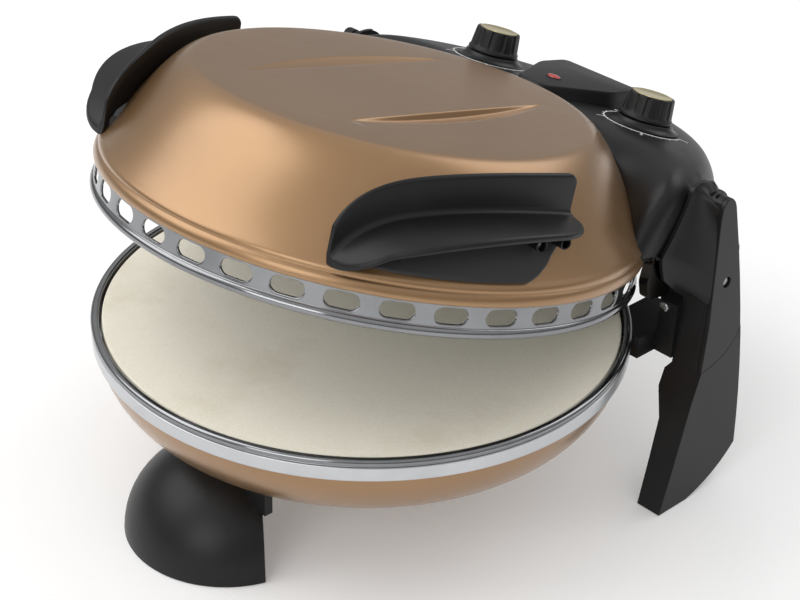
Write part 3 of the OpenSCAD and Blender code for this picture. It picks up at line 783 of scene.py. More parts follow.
@dataclass
class Piece:
    """One finished piece: its name, what it rides on and what it stands for."""

    name: str
    body: Body
    finish: Finish
    stands_for: tuple[str, ...] = ()

    def _mesh_object(self, mesh: bpy.types.Mesh, crease: float) -> bpy.types.Object:
        """Shades, dresses and registers a mesh.

        Args:
            mesh: The mesh, in the shared frame.
            crease: Angle in degrees over which an edge stays sharp.

        Returns:
            The new object.
        """
        mesh.shade_smooth()
        mesh.set_sharp_from_angle(angle=math.radians(crease))
        mesh.materials.clear()
        mesh.materials.append(self.finish.material())
        thing = bpy.data.objects.new(self.name, mesh)
        bpy.context.scene.collection.objects.link(thing)
        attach(thing, self.body.value)
        if self.stands_for:
            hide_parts(*self.stands_for)
        log.info("%s rides on %s, %d faces", self.name, self.body.value, len(mesh.polygons))
        return thing

    def make(self, form: Form, place: Matrix, crease: float = 34.0) -> bpy.types.Object:
        """Makes the piece from a form.

        Args:
            form: Points and faces in the drawing's own frame.
            place: Carries the drawing's frame to the shared frame.
            crease: Angle in degrees over which an edge stays sharp.

        Returns:
            The new object.
        """
        weld = 2e-6
        sliver = 1e-6
        mesh = bpy.data.meshes.new(self.name)
        mesh.from_pydata([place @ p for p in form.points], [], form.faces)
        work = bmesh.new()
        work.from_mesh(mesh)
        bmesh.ops.remove_doubles(work, verts=work.verts, dist=weld)
        bmesh.ops.dissolve_degenerate(work, edges=work.edges, dist=sliver)
        bmesh.ops.recalc_face_normals(work, faces=work.faces)
        work.to_mesh(mesh)
        work.free()
        return self._mesh_object(mesh, crease)

    def moulded(self, node: str, radius_mm: float, crease: float = 34.0) -> bpy.types.Object:
        """Makes the piece from a CAD node, with its edges eased.

        Args:
            node: The CAD node whose shape is taken.
            radius_mm: Radius of the eased edges.
            crease: Angle in degrees over which an edge is eased.

        Returns:
            The new object.
        """
        weld = 4e-6
        flat = math.radians(0.4)
        work = bmesh.new()
        work.from_mesh(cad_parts[node].data)
        bmesh.ops.remove_doubles(work, verts=work.verts, dist=weld)
        bmesh.ops.dissolve_limit(work, angle_limit=flat, verts=work.verts, edges=work.edges)
        bmesh.ops.recalc_face_normals(work, faces=work.faces)
        mesh = bpy.data.meshes.new(self.name)
        work.to_mesh(mesh)
        work.free()
        thing = self._mesh_object(mesh, crease)
        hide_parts(node)
        eased(thing, radius_mm, crease)
        return thing


def eased(thing: bpy.types.Object, radius_mm: float, crease: float = 34.0, segments: int = 2) -> None:
    """Rounds the sharp edges of a piece.

    Args:
        thing: The piece.
        radius_mm: Width of the rounding.
        crease: Angle in degrees over which an edge is rounded.
        segments: Steps of the rounding.
    """
    bevel = thing.modifiers.new("eased_edges", "BEVEL")
    bevel.width = radius_mm * MM
    bevel.segments = segments
    bevel.limit_method = "ANGLE"
    bevel.angle_limit = math.radians(crease)
    bevel.use_clamp_overlap = True
    bevel.harden_normals = True


def dress(finish: Finish, *nodes: str) -> None:
    """Gives CAD nodes a finish.

    Args:
        finish: The finish.
        nodes: Names of the nodes.
    """
    for name in nodes:
        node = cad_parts[name]
        for slot in node.material_slots:
            slot.material = finish.material()
        log.info("%s keeps its CAD shape in %s", name, finish.name)


# ---- Base -------------------------------------------------------------------------


@dataclass
class Base:
    """Copper-painted bowl with its steel rim, liner, element and stone."""

    rim_r: float = 161.5
    rim_top: float = 111.0
    rim_low: float = 97.5
    bowl_r: float = 158.8
    bowl_z: float = 44.5
    bowl_floor_r: float = 75.0
    sheet: float = 1.2
    stone_r: float = 155.0
    stone_z: float = 98.5
    stone_t: float = 11.0

    def bowl(self) -> None:
        """Builds the pressed bowl, which reaches up inside the rim."""
        low = self.rim_low - 0.5
        high = self.rim_low + 6
        pull_r = self.bowl_r - 6
        pull_z = self.bowl_z + 6
        floor_r = self.bowl_floor_r
        t = self.sheet
        outer = bend((self.bowl_r, low), (pull_r, pull_z), (floor_r, self.bowl_z), 40)
        inner = bend((self.bowl_r - t, low), (pull_r - t, pull_z + t), (floor_r, self.bowl_z + t), 40)
        profile = [(self.bowl_r, high), *outer, (0, self.bowl_z), (0, self.bowl_z + t),
                   *reversed(inner), (self.bowl_r - t, high)]
        shell = Form().lathe(profile, ROUND_STEPS)
        Piece("bowl_shell", Body.BASE, COPPER, ("base_bowl",)).make(shell, table_frame())

    def rim(self) -> None:
        """Builds the rolled rim: round bead, fine groove and flat band."""
        bead = 2.4
        top = self.rim_top
        low = self.rim_low
        face = self.rim_r - 0.3
        lip = self.stone_r + 1.6
        band = [(self.bowl_r, low), (face - 1, low),
                *bend((face - 1, low), (face, low), (face, low + 1), 5),
                (face, top - 5.6),
                *bend((face, top - 5.3), (face - 0.1, top - 4.9), (face - 1, top - 4.7), 4),
                (face - 1.2, top - 4.2), (self.bowl_r, top - 4.2)]
        roll = [(self.bowl_r, top - 4.3), (face - 1.5, top - 4.3),
                *round_arc((self.rim_r - bead, top - bead), bead, -32, 90, 14),
                *round_arc((lip + 1.6, top - 1.6), 1.6, 90, 180, 8),
                (lip, top - 7), (lip + 1, top - 7), (lip + 1, top - 4.3)]
        flat = Form().lathe(band, ROUND_STEPS)
        rolled = Form().lathe(roll, ROUND_STEPS)
        Piece("rim_band", Body.BASE, RIM_STEEL, ("base_rim",)).make(flat, table_frame())
        # The bead takes the darker steel copy, while the band of the same rim does not: painted dark
        # reflection on the bead.
        Piece("rim_bead", Body.BASE, DARK_REFLECTION_STEEL).make(rolled, table_frame())

    def stone(self) -> None:
        """Builds the baking stone."""
        r = self.stone_r
        t = self.stone_t
        profile = [(0, 0), (r - 1.6, 0), *bend((r - 1.6, 0), (r, 0), (r, 1.6), 5),
                   *bend((r, t - 1.8), (r, t), (r - 1.8, t), 6), (r - 40, t), (0, t)]
        place = table_frame() @ Matrix.Translation((0, 0, self.stone_z))
        disc = Form().lathe(profile, ROUND_STEPS)
        Piece("stone_disc", Body.BASE, STONE, ("baking_stone",)).make(disc, place)

    def build(self) -> None:
        """Builds the whole base."""
        self.bowl()
        self.rim()
        self.stone()
        dress(INNER_STEEL, "base_liner", "lower_element_clips")
        dress(SHEATH, "lower_element")


@dataclass
class Stand:
    """Front foot, rear legs with their covers, hinge brackets and the hinge shaft."""

    edge: float = 1.1
    ear_x: float = 140.6
    ear_rim: float = 2.4
    ear_scoop: float = 2.6
    leg_y: float = 125.0

    def _ear_lines(self) -> tuple[list[Pair], list[Spot]]:
        """Draws the ear's two borders.

        Returns:
            Its inner outline, as y and height, and where each point of that meets the leg.
        """
        below = [(140, 133), (124.7, 133), (111, 144), (102.6, 152), (99.2, 161)]
        front = bend((98, 168), (114, 188), (119.2, 204), 14)
        top = [*bend((119.2, 204), (121, 207.2), (127, 207.6), 8)[1:],
               *bend((127, 207.6), (138, 207.6), (144, 198), 10)[1:]]
        y = self.leg_y
        foot = [(161.9, 140, 133), (161.9, y, 133), (161.8, y, 137), (161.6, y, 142), (161.5, y, 147)]
        edge = [(161.4 - 0.06 * i, y, 152 + 40 * i / 14) for i in range(15)]
        crown = [*bend((y, 192), (y, 202.6), (131, 202.6), 8)[1:],
                 *bend((131, 202.6), (137, 202.6), (139.5, 191), 10)[1:]]
        turned_in = [(160.5 - 12 * ease(i, 0, 5), *spot) for i, spot in enumerate(crown)]
        return [*below, *front, *top], [*foot, *edge, *turned_in]

    def ear(self, side: Side) -> None:
        """Builds the ear at a leg's head, which stands beside the housing and covers the hinge.

        Args:
            side: The side of the leg.
        """
        inner, meets = self._ear_lines()
        rim_x = self.ear_x + self.ear_rim
        rows = [[(self.ear_x, y, z) for y, z in inner]]
        for share in (0, 0.05, 0.12, 0.2, 0.3, 0.42, 0.56, 0.7, 0.85, 1):
            scoop = self.ear_scoop * math.sin(math.pi * share ** 0.5)
            row = []
            for (y, z), (far_x, far_y, far_z) in zip(inner, meets):
                hollow = scoop if y < far_y else 0.0
                row.append((rim_x + (far_x - rim_x) * share,
                            y + (far_y - y) * share + hollow,
                            z + (far_z - z) * share))
            rows.append(row)
        thing = Piece(f"leg_ear_{side.word}", Body.BASE, PLASTIC).make(
            Form().loft(rows), table_frame() @ side.mirror, 50)
        eased(thing, 1.3, 40, 3)

    def build(self) -> None:
        """Builds the stand."""
        Piece("foot_shell", Body.BASE, PLASTIC).moulded("front_foot", 0.8)
        for side in Side:
            self.ear(side)
            for part, edge in (("rear_leg", self.edge), ("leg_cover", 0.5), ("hinge_bracket", 0.5)):
                piece = Piece(f"{part}_moulding_{side.word}", Body.BASE, PLASTIC)
                piece.moulded(f"{part}_{side.word}", edge)
        dress(SCREW_STEEL, "front_foot_screws", "leg_cover_screws", "bracket_screws")
        dress(SCREW_STEEL, "hinge_shaft", "shaft_clips")
        dress(RUBBER, "foot_pads")


# ---- Lid --------------------------------------------------------------------------


@dataclass
class Dome:
    """Copper-painted dome with its raised flat top and two crescent recesses."""

    ring_r: float = 159.6
    bead_h: float = 18.6
    plateau_r: float = 120.0
    flat_r: float = 113.0
    height: float = 82.8
    sheet: float = 1.2
    foot_in: float = 2.2
    foot_up: float = 12.0
    shoulder_in: float = 15.1
    shoulder_down: float = 35.8
    brim_out: float = 7.5
    chord_x: float = 41.5
    bulge: float = 16.0
    half: float = 82.0
    depth: float = 3.8
    shift_y: float = 4.0
    wall_in: float = 0.7
    wall_out: float = 1.4

    def outer(self) -> list[Pair]:
        """Returns radius and height of the outer face, from the bead to the top."""
        roll = [(1.2, 0), (1.7, 0.4), (2.0, 1), (2.2, 1.8),
                (2.2, 2.6), (2.0, 3.8), (1.7, 4.8), (1.2, 5.7)]
        neck = [(0.7, 6.4), (0.1, 6.8), (-0.1, 7.1), (0.0, 7.6),
                (0.1, 8.2), (0.0, 8.9), (-0.3, 9.8), (-1.0, 10.8)]
        foot = (self.ring_r - self.foot_in, self.bead_h + self.foot_up)
        shoulder = (self.ring_r - self.shoulder_in, self.height - self.shoulder_down)
        brim = (self.plateau_r + self.brim_out, self.height)
        side = long_bend(foot, shoulder, brim, (self.flat_r, self.height), 46)
        return [*shifted([*roll, *neck], self.ring_r, self.bead_h), *side]

    def inner(self) -> list[Pair]:
        """Returns radius and height of the inner face, from the bead to the top."""
        t = self.sheet
        under = self.height - t
        bead = [(r - t, h) for r, h in self.outer() if h < self.bead_h + 11]
        foot = (self.ring_r - self.foot_in - t, self.bead_h + self.foot_up - 0.5)
        shoulder = (self.ring_r - self.shoulder_in - t, self.height - self.shoulder_down - 1.0)
        brim = (self.plateau_r + self.brim_out - 0.8, under)
        side = long_bend(foot, shoulder, brim, (self.flat_r, under), 30)
        return [*bead, *side]

    def radius_at(self, height: float) -> float:
        """Returns the outer radius at a height above the flange."""
        return along(swapped([p for p in self.outer() if p[1] > self.bead_h + 7]), height)

    def _arc_x(self, y: float) -> float:
        """Finds the crescent's arc.

        Args:
            y: Place along the chord.

        Returns:
            How far out the arc lies there.
        """
        radius = (self.half ** 2 + self.bulge ** 2) / (2 * self.bulge)
        reach = radius ** 2 - (y - self.shift_y) ** 2
        return self.chord_x + self.bulge - radius + math.sqrt(max(reach, 0.0))

    def drop_at(self, x: float, y: float) -> float:
        """Finds the depth of the crescent recess, which is steep at the chord and runs out at the arc.

        Args:
            x: Place across the flat top.
            y: Place along it.

        Returns:
            The depth there.
        """
        room = self._arc_x(y) - self.chord_x
        if room <= 0:
            return 0.0
        wall = ease(abs(x), self.chord_x - self.wall_in, self.chord_x + self.wall_out)
        out = min(max((abs(x) - self.chord_x) / room, 0.0), 1.0)
        return self.depth * wall * (1 - out ** 2) * min(room / self.bulge, 1.0)

    def _recess_rows(self, sign: int) -> list[list[Pair]]:
        """Draws the rows of points that the recess on one side needs.

        Args:
            sign: 1 for the right recess and -1 for the left one.

        Returns:
            The rows: close together over the wall at the chord, then spread up to the arc.
        """
        near = self.chord_x + self.wall_out + 0.7
        lengths = [self.shift_y + self.half * k / 38 for k in range(-38, 39)]
        places = [(y, self._arc_x(y)) for y in lengths]
        rows = []
        for offset in (-1.4, -0.7, -0.4, -0.1, 0.2, 0.5, 0.8, 1.1, 1.4, 2.1):
            rows.append([(sign * (self.chord_x + offset), y) for y, _ in places])
        for share in (0.3, 0.65, 0.92, 1.0, 1.08):
            spread = [(near + (arc - near) * share, y) for y, arc in places if arc > near + 0.6]
            rows.append([(sign * x, y) for x, y in spread])
        return rows

    def _loose_points(self) -> list[Vector]:
        """Returns a grid of points over the flat top, clear of its edge and of the recesses."""
        step = 12
        points = []
        for i in range(-9, 10):
            for j in range(-9, 10):
                spot = Vector((i * step + 3.1, j * step + 1.7))
                clear = abs(abs(spot.x) - self.chord_x - 7) > step
                if spot.length < self.flat_r - 6 and clear:
                    points.append(spot)
        return points

    def _flat_top(self) -> tuple[list[Vector], list[tuple[int, ...]]]:
        """Fills the flat top, with lines along the recesses.

        Returns:
            Its points, at no height, and its faces.
        """
        turns = [math.tau * i / ROUND_STEPS for i in range(ROUND_STEPS)]
        points = [Vector((self.flat_r * math.cos(a), self.flat_r * math.sin(a))) for a in turns]
        lines = [(i, (i + 1) % ROUND_STEPS) for i in range(ROUND_STEPS)]
        for sign in (1, -1):
            for row in self._recess_rows(sign):
                start = len(points)
                points += [Vector(p) for p in row]
                lines += [(start + i, start + i + 1) for i in range(len(row) - 1)]
        points += self._loose_points()
        filled = delaunay_2d_cdt(points, lines, [], 1, 1e-4)
        return [Vector((p.x, p.y, 0)) for p in filled[0]], [tuple(f) for f in filled[2]]

    def build(self) -> None:
        """Builds the dome as one closed pressing."""
        outer = self.outer()
        inner = self.inner()
        form = Form()
        for profile in (outer, inner, [outer[0], inner[0]]):
            form.lathe(profile, ROUND_STEPS, closed=False)
        top, faces = self._flat_top()
        for level in (self.height, self.height - self.sheet):
            raised = [Vector((p.x, p.y, level - self.drop_at(p.x, p.y))) for p in top]
            form.plus(Form(raised, faces))
        Piece("dome_shell", Body.LID, COPPER, ("lid_dome",)).make(form, lid_frame(), 75)


@dataclass
class VentRing:
    """Polished steel ring with a row of punched round-ended slots and a rolled hem."""

    radius: float = 159.6
    slots: int = 35
    slot_l: float = 18.6
    slot_h: float = 9.2
    slot_z: float = 12.3
    low: float = 6.6
    high: float = 18.0
    top: float = 22.0
    hem: float = 3.0
    lip: float = 1.5
    sheet: float = 1.0

    def _outline(self, grow: float, count: int) -> list[Pair]:
        """Draws the outline of a slot, grown outwards.

        Args:
            grow: Distance outside the punched edge.
            count: Number of points; a multiple of 4.

        Returns:
            The points round the slot.
        """
        half = (self.slot_l - self.slot_h) / 2
        r = self.slot_h / 2 + grow
        length = 4 * half + math.tau * r
        spots = []
        for i in range(count):
            s = (i / count) * length
            if s < half:
                spots.append((s, r))
            elif s < half + math.pi * r:
                a = math.pi / 2 - (s - half) / r
                spots.append((half + r * math.cos(a), r * math.sin(a)))
            elif s < 3 * half + math.pi * r:
                spots.append((half - (s - half - math.pi * r), -r))
            elif s < 3 * half + math.tau * r:
                a = -math.pi / 2 - (s - 3 * half - math.pi * r) / r
                spots.append((-half + r * math.cos(a), r * math.sin(a)))
            else:
                spots.append((-half + (s - 3 * half - math.tau * r), r))
        return spots

    def _frame_edge(self, spot: Pair, half_w: float) -> Pair:
        """Finds where the ray from the slot's middle through a point leaves the slot's panel.

        Args:
            spot: The point.
            half_w: Half of the panel's width.

        Returns:
            The place on the panel's edge.
        """
        up = self.high - self.slot_z
        down = self.slot_z - self.low
        x, y = spot
        reach_x = half_w / abs(x) if abs(x) > 1e-9 else 1e9
        reach_y = (up if y > 0 else down) / abs(y) if abs(y) > 1e-9 else 1e9
        reach = min(reach_x, reach_y)
        return (x * reach, y * reach)

    def _at(self, along_mm: float, height: float, depth: float) -> Spot:
        """Finds a point on the ring.

        Args:
            along_mm: Distance round the ring.
            height: Height of the point.
            depth: Depth under the ring's face.

        Returns:
            The point.
        """
        angle = along_mm / self.radius - math.pi / 2
        r = self.radius - depth
        return (r * math.cos(angle), r * math.sin(angle), height)

    def build(self) -> None:
        """Builds the ring: pierced band, hem and the flange under the dome."""
        count = 48
        flat_rim = 1.3
        pitch = math.tau * self.radius / self.slots
        half_w = pitch / 2
        up = self.high - self.slot_z
        down = self.low - self.slot_z
        rim = self._outline(flat_rim, count)
        edge = [self._frame_edge(p, half_w) for p in rim]
        for corner in ((half_w, up), (half_w, down), (-half_w, up), (-half_w, down)):
            turn = math.atan2(corner[1], corner[0])
            away = [abs(math.remainder(math.atan2(v, u) - turn, math.tau)) for u, v in rim]
            edge[away.index(min(away))] = corner
        layers = [(flat_rim, 0.0), (0.6, 0.0), (0.28, 0.06), (0.08, 0.25), (0.0, 0.6), (0.0, self.lip)]
        rows = [(edge, 0.0), *((self._outline(grow, count), depth) for grow, depth in layers)]
        rows += [(rim, self.sheet), (edge, self.sheet)]
        form = Form()
        for k in range(self.slots):
            loops = []
            for spots, depth in rows:
                loops.append([self._at(k * pitch + u, v + self.slot_z, depth) for u, v in spots])
            form.loft(loops, True, False)
        self._borders(form, edge, pitch)
        # The ring takes the darker steel copy: painted dark reflection in its polished face.
        Piece("vent_band", Body.LID, DARK_REFLECTION_STEEL, ("vent_ring",)).make(form, lid_frame(), 55)

    def _borders(self, form: Form, edge: Sequence[Pair], pitch: float) -> None:
        """Adds the hem under the slots and the flange over them.

        Args:
            form: The ring's form.
            edge: Outline of one slot's panel.
            pitch: Distance from slot to slot.
        """
        for level, profile in ((self.low, self._hem_profile()), (self.high, self._top_profile())):
            spots = sorted({round(u, 6) for u, v in edge if abs(v + self.slot_z - level) < 1e-6})
            stations = [k * pitch + u for k in range(self.slots) for u in spots[:-1]]
            rows = [[self._at(s, h, self.radius - r) for r, h in profile] for s in stations]
            form.loft(rows, False, False, True)

    def _hem_profile(self) -> list[Pair]:
        """Returns the hem from the outer face round to the inner one."""
        r = self.radius
        back = r - self.sheet
        out = [(r, self.low), *bend((r, self.low - 0.3), (r, 5.9), (r + 0.7, 5.5), 4)]
        roll = round_arc((r - 1.3, self.hem), self.hem, 52, -90, 14)
        return [*out, *roll, (back - 1.2, 0.6), (back - 1.2, 4.0), (back, 5.2), (back, self.low)]

    def _top_profile(self) -> list[Pair]:
        """Returns the flange over the slots from the outer face round to the inner one."""
        back = self.radius - self.sheet
        return [(self.radius, self.high), (self.radius, self.top), (back, self.top), (back, self.high)]


@dataclass
class Handle:
    """Wing handle: an upright hand guard, a grip shelf and a saddle on the dome."""

    side: Side
    dome: Dome
    front_y: float = -126.5
    guard: float = 4.0
    guard_taper: float = 1.8
    thick: float = 4.0
    fillet: float = 3.2
    saddle_t: float = 2.6
    saddle_r: float = 150.0
    sunk: float = 0.6
    post_in: float = 132.0
    post_out: float = 157.0

    def guard_x(self, y: float) -> float:
        """Returns how far out the guard's outer face is at y."""
        line = [*bend((140.3, 0.6), (136, -46), (113, -87), 40),
                *bend((113, -87), (101, -107), (96.5, self.front_y), 30)]
        return along(swapped(line), y)

    def shelf_x(self, y: float) -> float:
        """Returns how far out the shelf reaches at y."""
        line = [*bend((139, 1), (162, 1), (164, -25), 30),
                *bend((164, -25), (160.5, -87), (127, -113), 40),
                *bend((127, -113), (118, self.front_y), (99, self.front_y), 30)]
        return along(swapped(line), y)

    def shelf_h(self, y: float) -> float:
        """Returns the height of the shelf's top at y."""
        return along(bend((self.front_y, 33), (-103, 71), (2, 60.5), 60), y)

    def guard_h(self, y: float) -> float:
        """Returns the height of the guard's top at y."""
        rear = [(-4, 83), (-1.5, 82.4), (0.3, 81.1), (1.4, 79.1), (2, 76.5)]
        return along([*bend((self.front_y, 50), (-113, 88), (-4, 83), 60), *rear], y)

    def _dome_x(self, y: float, height: float) -> float:
        """Returns how far out the dome reaches at y and a height, less a little overlap."""
        reach = self.dome.radius_at(height) ** 2 - y * y
        return math.sqrt(max(reach, 0.0)) - self.sunk

    def _section(self, y: float) -> list[Spot]:
        """Draws the section of guard and shelf, held clear of the inside of the dome.

        Args:
            y: Place of the section.

        Returns:
            Its outline, from the guard's foot round the shelf and over the guard.
        """
        gx = self.guard_x(y)
        slant = (self.guard_x(min(y + 1, 0)) - self.guard_x(y - 1)) / 2
        wall = (self.guard - self.guard_taper * (1 - ease(y, -126, -70))) * math.hypot(1, slant)
        top = self.guard_h(y)
        s = self.shelf_h(y)
        low = s - self.thick
        e = max(self.shelf_x(y), gx + self.fillet + 1.2)
        cap = wall / 2
        r = self.thick / 2
        droop = min(1.2, (e - gx) * 0.05)
        fillet = min(self.fillet, e - gx - 0.5)
        loop = [(gx - wall, low), (gx, low)]
        loop += [(gx + (e - r - gx) * k / 5, low - droop * (k / 5) ** 2) for k in range(1, 6)]
        loop += shifted(round_arc((e - r, s - r), r, -70, 70, 6), 0, -droop)
        flat = e - r - gx - fillet
        loop += [(gx + fillet + flat * k / 5, s - droop * (k / 5) ** 2) for k in range(5, 0, -1)]
        loop += round_arc((gx + fillet, s + fillet), fillet, -90, -180, 6)
        loop += [(gx, s + fillet + (top - cap - s - fillet) * k / 4) for k in range(1, 4)]
        loop += round_arc((gx - cap, top - cap), cap, 0, 180, 8)
        loop += [(gx - wall, low + (top - cap - low) * k / 4) for k in range(3, 0, -1)]
        return [(max(x, self._dome_x(y, h)), y, h) for x, h in loop]

    def wing(self) -> None:
        """Builds guard and shelf as one moulding."""
        front = [self.front_y + 3.5 * (i / 8) ** 2 for i in range(9)]
        middle = [-123.0 + 117.0 * i / 50 for i in range(1, 51)]
        rear = [-6.0 + 7.0 * math.sin(math.pi / 2 * i / 12) for i in range(1, 13)]
        form = Form().loft([self._section(y) for y in (*front, *middle, *rear)])
        word = self.side.word
        thing = Piece(f"handle_wing_{word}", Body.LID, PLASTIC, (f"handle_{word}",)).make(
            form, lid_frame() @ self.side.mirror, 50)
        eased(thing, 0.9, 60, 3)

    def _saddle_loop(self) -> list[Spot]:
        """Returns the saddle's section: share of its height, distance out from the dome, and lift."""
        t = self.saddle_t
        under = -self.sunk
        outer = [(0, under, 0.0), (0, t - 0.9, 0.0), (0, t - 0.35, 0.25), (0, t, 0.9)]
        outer += [(k / 12, t, 0.0) for k in range(1, 13)]
        return outer + [(k / 12, under, 0.0) for k in range(12, 0, -1)]

    def saddle(self) -> None:
        """Builds the mounting plate that lies on the dome under the shelf."""
        edge = [(-126, 31), (-112, 31.5), (-104, 31.5), (-96, 31), (-36, 31),
                (-30, 33.5), (-23, 38), (-18, 43), (-10, 48), (4, 57)]
        rows = []
        for i in range(61):
            angle = math.radians(-52 + 54 * i / 60)
            y = self.saddle_r * math.sin(angle)
            bottom = along(edge, y)
            top = max(self.shelf_h(y) - 2.5, bottom + 0.5)
            row = []
            for share, out, lift in self._saddle_loop():
                h = bottom + (top - bottom) * share + lift
                r = self.dome.radius_at(h) + out
                row.append((r * math.cos(angle), r * math.sin(angle), h + 0.3 * out))
            rows.append(row)
        # The saddle takes the lighter plastic copy: painted light against the shade under the shelf.
        thing = Piece(f"handle_saddle_{self.side.word}", Body.LID, LIT_SADDLE_PLASTIC).make(
            Form().loft(rows), lid_frame() @ self.side.mirror, 50)
        eased(thing, 0.6, 60)

    def posts(self) -> None:
        """Builds the screw posts between saddle and shelf, with their bores and ribs."""
        form = Form()
        bore = 2.7
        outer = 3.6
        start = self.post_in
        end = self.post_out
        for angle, height in ((-41, 36.0), (-12, 51.3), (-6, 51.8)):
            turn = Matrix.Rotation(math.radians(angle), 4, "Z") @ Matrix.Translation((0, 0, height))
            lie = turn @ Matrix.Rotation(math.pi / 2, 4, "Y")
            profile = [(0, start), (outer, start), (outer, end - 0.5), (outer - 0.5, end),
                       (bore + 0.4, end), (bore, end - 0.4), (bore, end - 5), (0, end - 5)]
            form.plus(Form().lathe(profile, 40).turned(lie))
            form.plus(Form().block((-5.0, -1.3, start + 6), (-3.0, 1.3, end - 1.2)).turned(lie))
        piece = Piece(f"handle_posts_{self.side.word}", Body.LID, PLASTIC)
        piece.make(form, lid_frame() @ self.side.mirror)

    def build(self) -> None:
        """Builds the whole handle."""
        self.wing()
        self.saddle()
        self.posts()


# ---- Controls ----------------------------------------------------------------------


@dataclass
class Housing:
    """Black control housing that hugs the rear of the dome, with its raised bridge and lamp."""

    dome: Dome
    plan_y: float = 78.0
    plan_r: float = 150.0
    wing_x: float = 140.0
    end_x: float = 139.0
    skirt_low: float = 24.5
    brow_y: float = 106.0
    brow_h: float = 66.0
    wall: float = 2.5
    heart_x: float = 60.0
    heart_y: float = 175.0
    heart_h: float = 35.0
    roll: float = 2.3

    def panel_at(self, y: float) -> float:
        """Returns the height of the sloping panel at y."""
        return PANEL_H - (y - KNOB_Y) * math.tan(math.radians(PANEL_SLOPE))

    def _skirt(self) -> list[Pair]:
        """Returns y and height of the front, from its lower edge up to the panel."""
        brow = (self.brow_y, self.brow_h)
        return [*bend((71, self.skirt_low), (74, 38), (92, 50), 12),
                *bend((92, 50), (103, 58), brow, 10)[1:],
                *bend(brow, (109, 76), (126, self.panel_at(126)), 16)[1:]]

    def _ridge(self) -> list[Pair]:
        """Returns y and height of the rear edge of the wings, from the bottom upwards."""
        return [(96, 0), (103, self.skirt_low), (107, 35.4), (111, 49), (115, 63), (118, 72), (123, 90)]

    def _seam(self) -> np.ndarray:
        """Returns rows of x, y and height along the line where the front meets the dome."""
        rows = []
        for y, h in self._skirt():
            reach = self.dome.radius_at(h) ** 2 - y * y
            rows.append((math.sqrt(max(reach, 0.0)), y, h))
        return np.array(sorted(rows))

    def _front(self, x: np.ndarray, y: np.ndarray, h: np.ndarray) -> np.ndarray:
        """Measures places against the front, which rolls up from the seam to the panel.

        Args:
            x: First coordinates of the places.
            y: Second coordinates.
            h: Heights.

        Returns:
            How far the places lie above the front.
        """
        seam_x, seam_y, seam_h = self._seam().T
        start = np.interp(np.abs(x), seam_x, seam_y)
        foot = np.interp(np.abs(x), seam_x, seam_h)
        reach = np.interp(np.abs(x), [0, 60, 105, 140], [12, 24, 38, 46])
        room = self.panel_at(y) - foot
        share = np.clip((y - start) / reach, 0.0, 1.0)
        fall = 4.0
        rise = foot + room * (1 - (1 - share) ** self.roll) + np.minimum(y - start, 0.0) * fall
        steep = np.where(y < start, fall, room * self.roll * (1 - share) ** (self.roll - 1) / reach)
        return (h - rise) / np.hypot(1.0, steep)

    def _outside(self, x: np.ndarray, y: np.ndarray, h: np.ndarray) -> np.ndarray:
        """Measures places against the housing's outer face.

        Args:
            x: First coordinates of the places.
            y: Second coordinates.
            h: Heights.

        Returns:
            How far the places lie outside; inside it is negative.
        """
        fold = 1.6
        side_blend = 14.0
        rear_blend = 6.0
        front = self._front(x, y, h)
        sides = np.abs(x) - np.interp(h, [0, 14, 58], [122, 124, 139])
        wings = soft_max(np.abs(x) - self.wing_x, -signed_gap(y, h, self._ridge()), fold)
        sides = -soft_max(-sides, -wings, fold)
        r = self.plan_r
        roll = [(0, 84), (60, 84), *bend((r - 25, 74), (r - 1, 68), (r, 40), 20), (r, -60)]
        rear = signed_gap(np.hypot(x, y - self.plan_y), h, roll)
        return soft_max(soft_max(front, sides, side_blend), rear, rear_blend)

    def top_at(self, x: np.ndarray, y: np.ndarray) -> np.ndarray:
        """Finds the housing's top by halving steps.

        Args:
            x: First coordinates of places in plan.
            y: Second coordinates.

        Returns:
            The heights of the top over the places.
        """
        low = np.full(x.shape, 40.0)
        high = np.full(x.shape, 90.0)
        for _ in range(20):
            middle = (low + high) / 2
            within = self._outside(x, y, middle) < 0
            low = np.where(within, middle, low)
            high = np.where(within, high, middle)
        return low

    def _pressed(self, aims: np.ndarray) -> np.ndarray:
        """Carries places onto the outer face, along lines from the middle of the housing.

        Args:
            aims: Rows of three coordinates near the outer face.

        Returns:
            The places on the outer face.
        """
        heart = np.stack([np.clip(aims[:, 0], -self.heart_x, self.heart_x),
                          np.full(len(aims), self.heart_y), np.full(len(aims), self.heart_h)], axis=1)
        ways = aims - heart
        inner = np.zeros(len(aims))
        first, last, steps = 0.1, 1.6, 45
        for share in np.linspace(first, last, steps + 1):
            spots = heart + ways * share
            inner = np.where(self._outside(*spots.T) < 0, share, inner)
        outer = inner + (last - first) / steps
        for _ in range(18):
            middle = (inner + outer) / 2
            spots = heart + ways * middle[:, None]
            within = self._outside(*spots.T) < 0
            inner = np.where(within, middle, inner)
            outer = np.where(within, outer, middle)
        return heart + ways * inner[:, None]

    def _levels(self) -> list[float]:
        """Returns the heights of the rows up the front and rear faces."""
        low = [4.0, 12.0, 20.0, 24.0]
        return [*low, *np.linspace(25.2, self.brow_h, 28)]

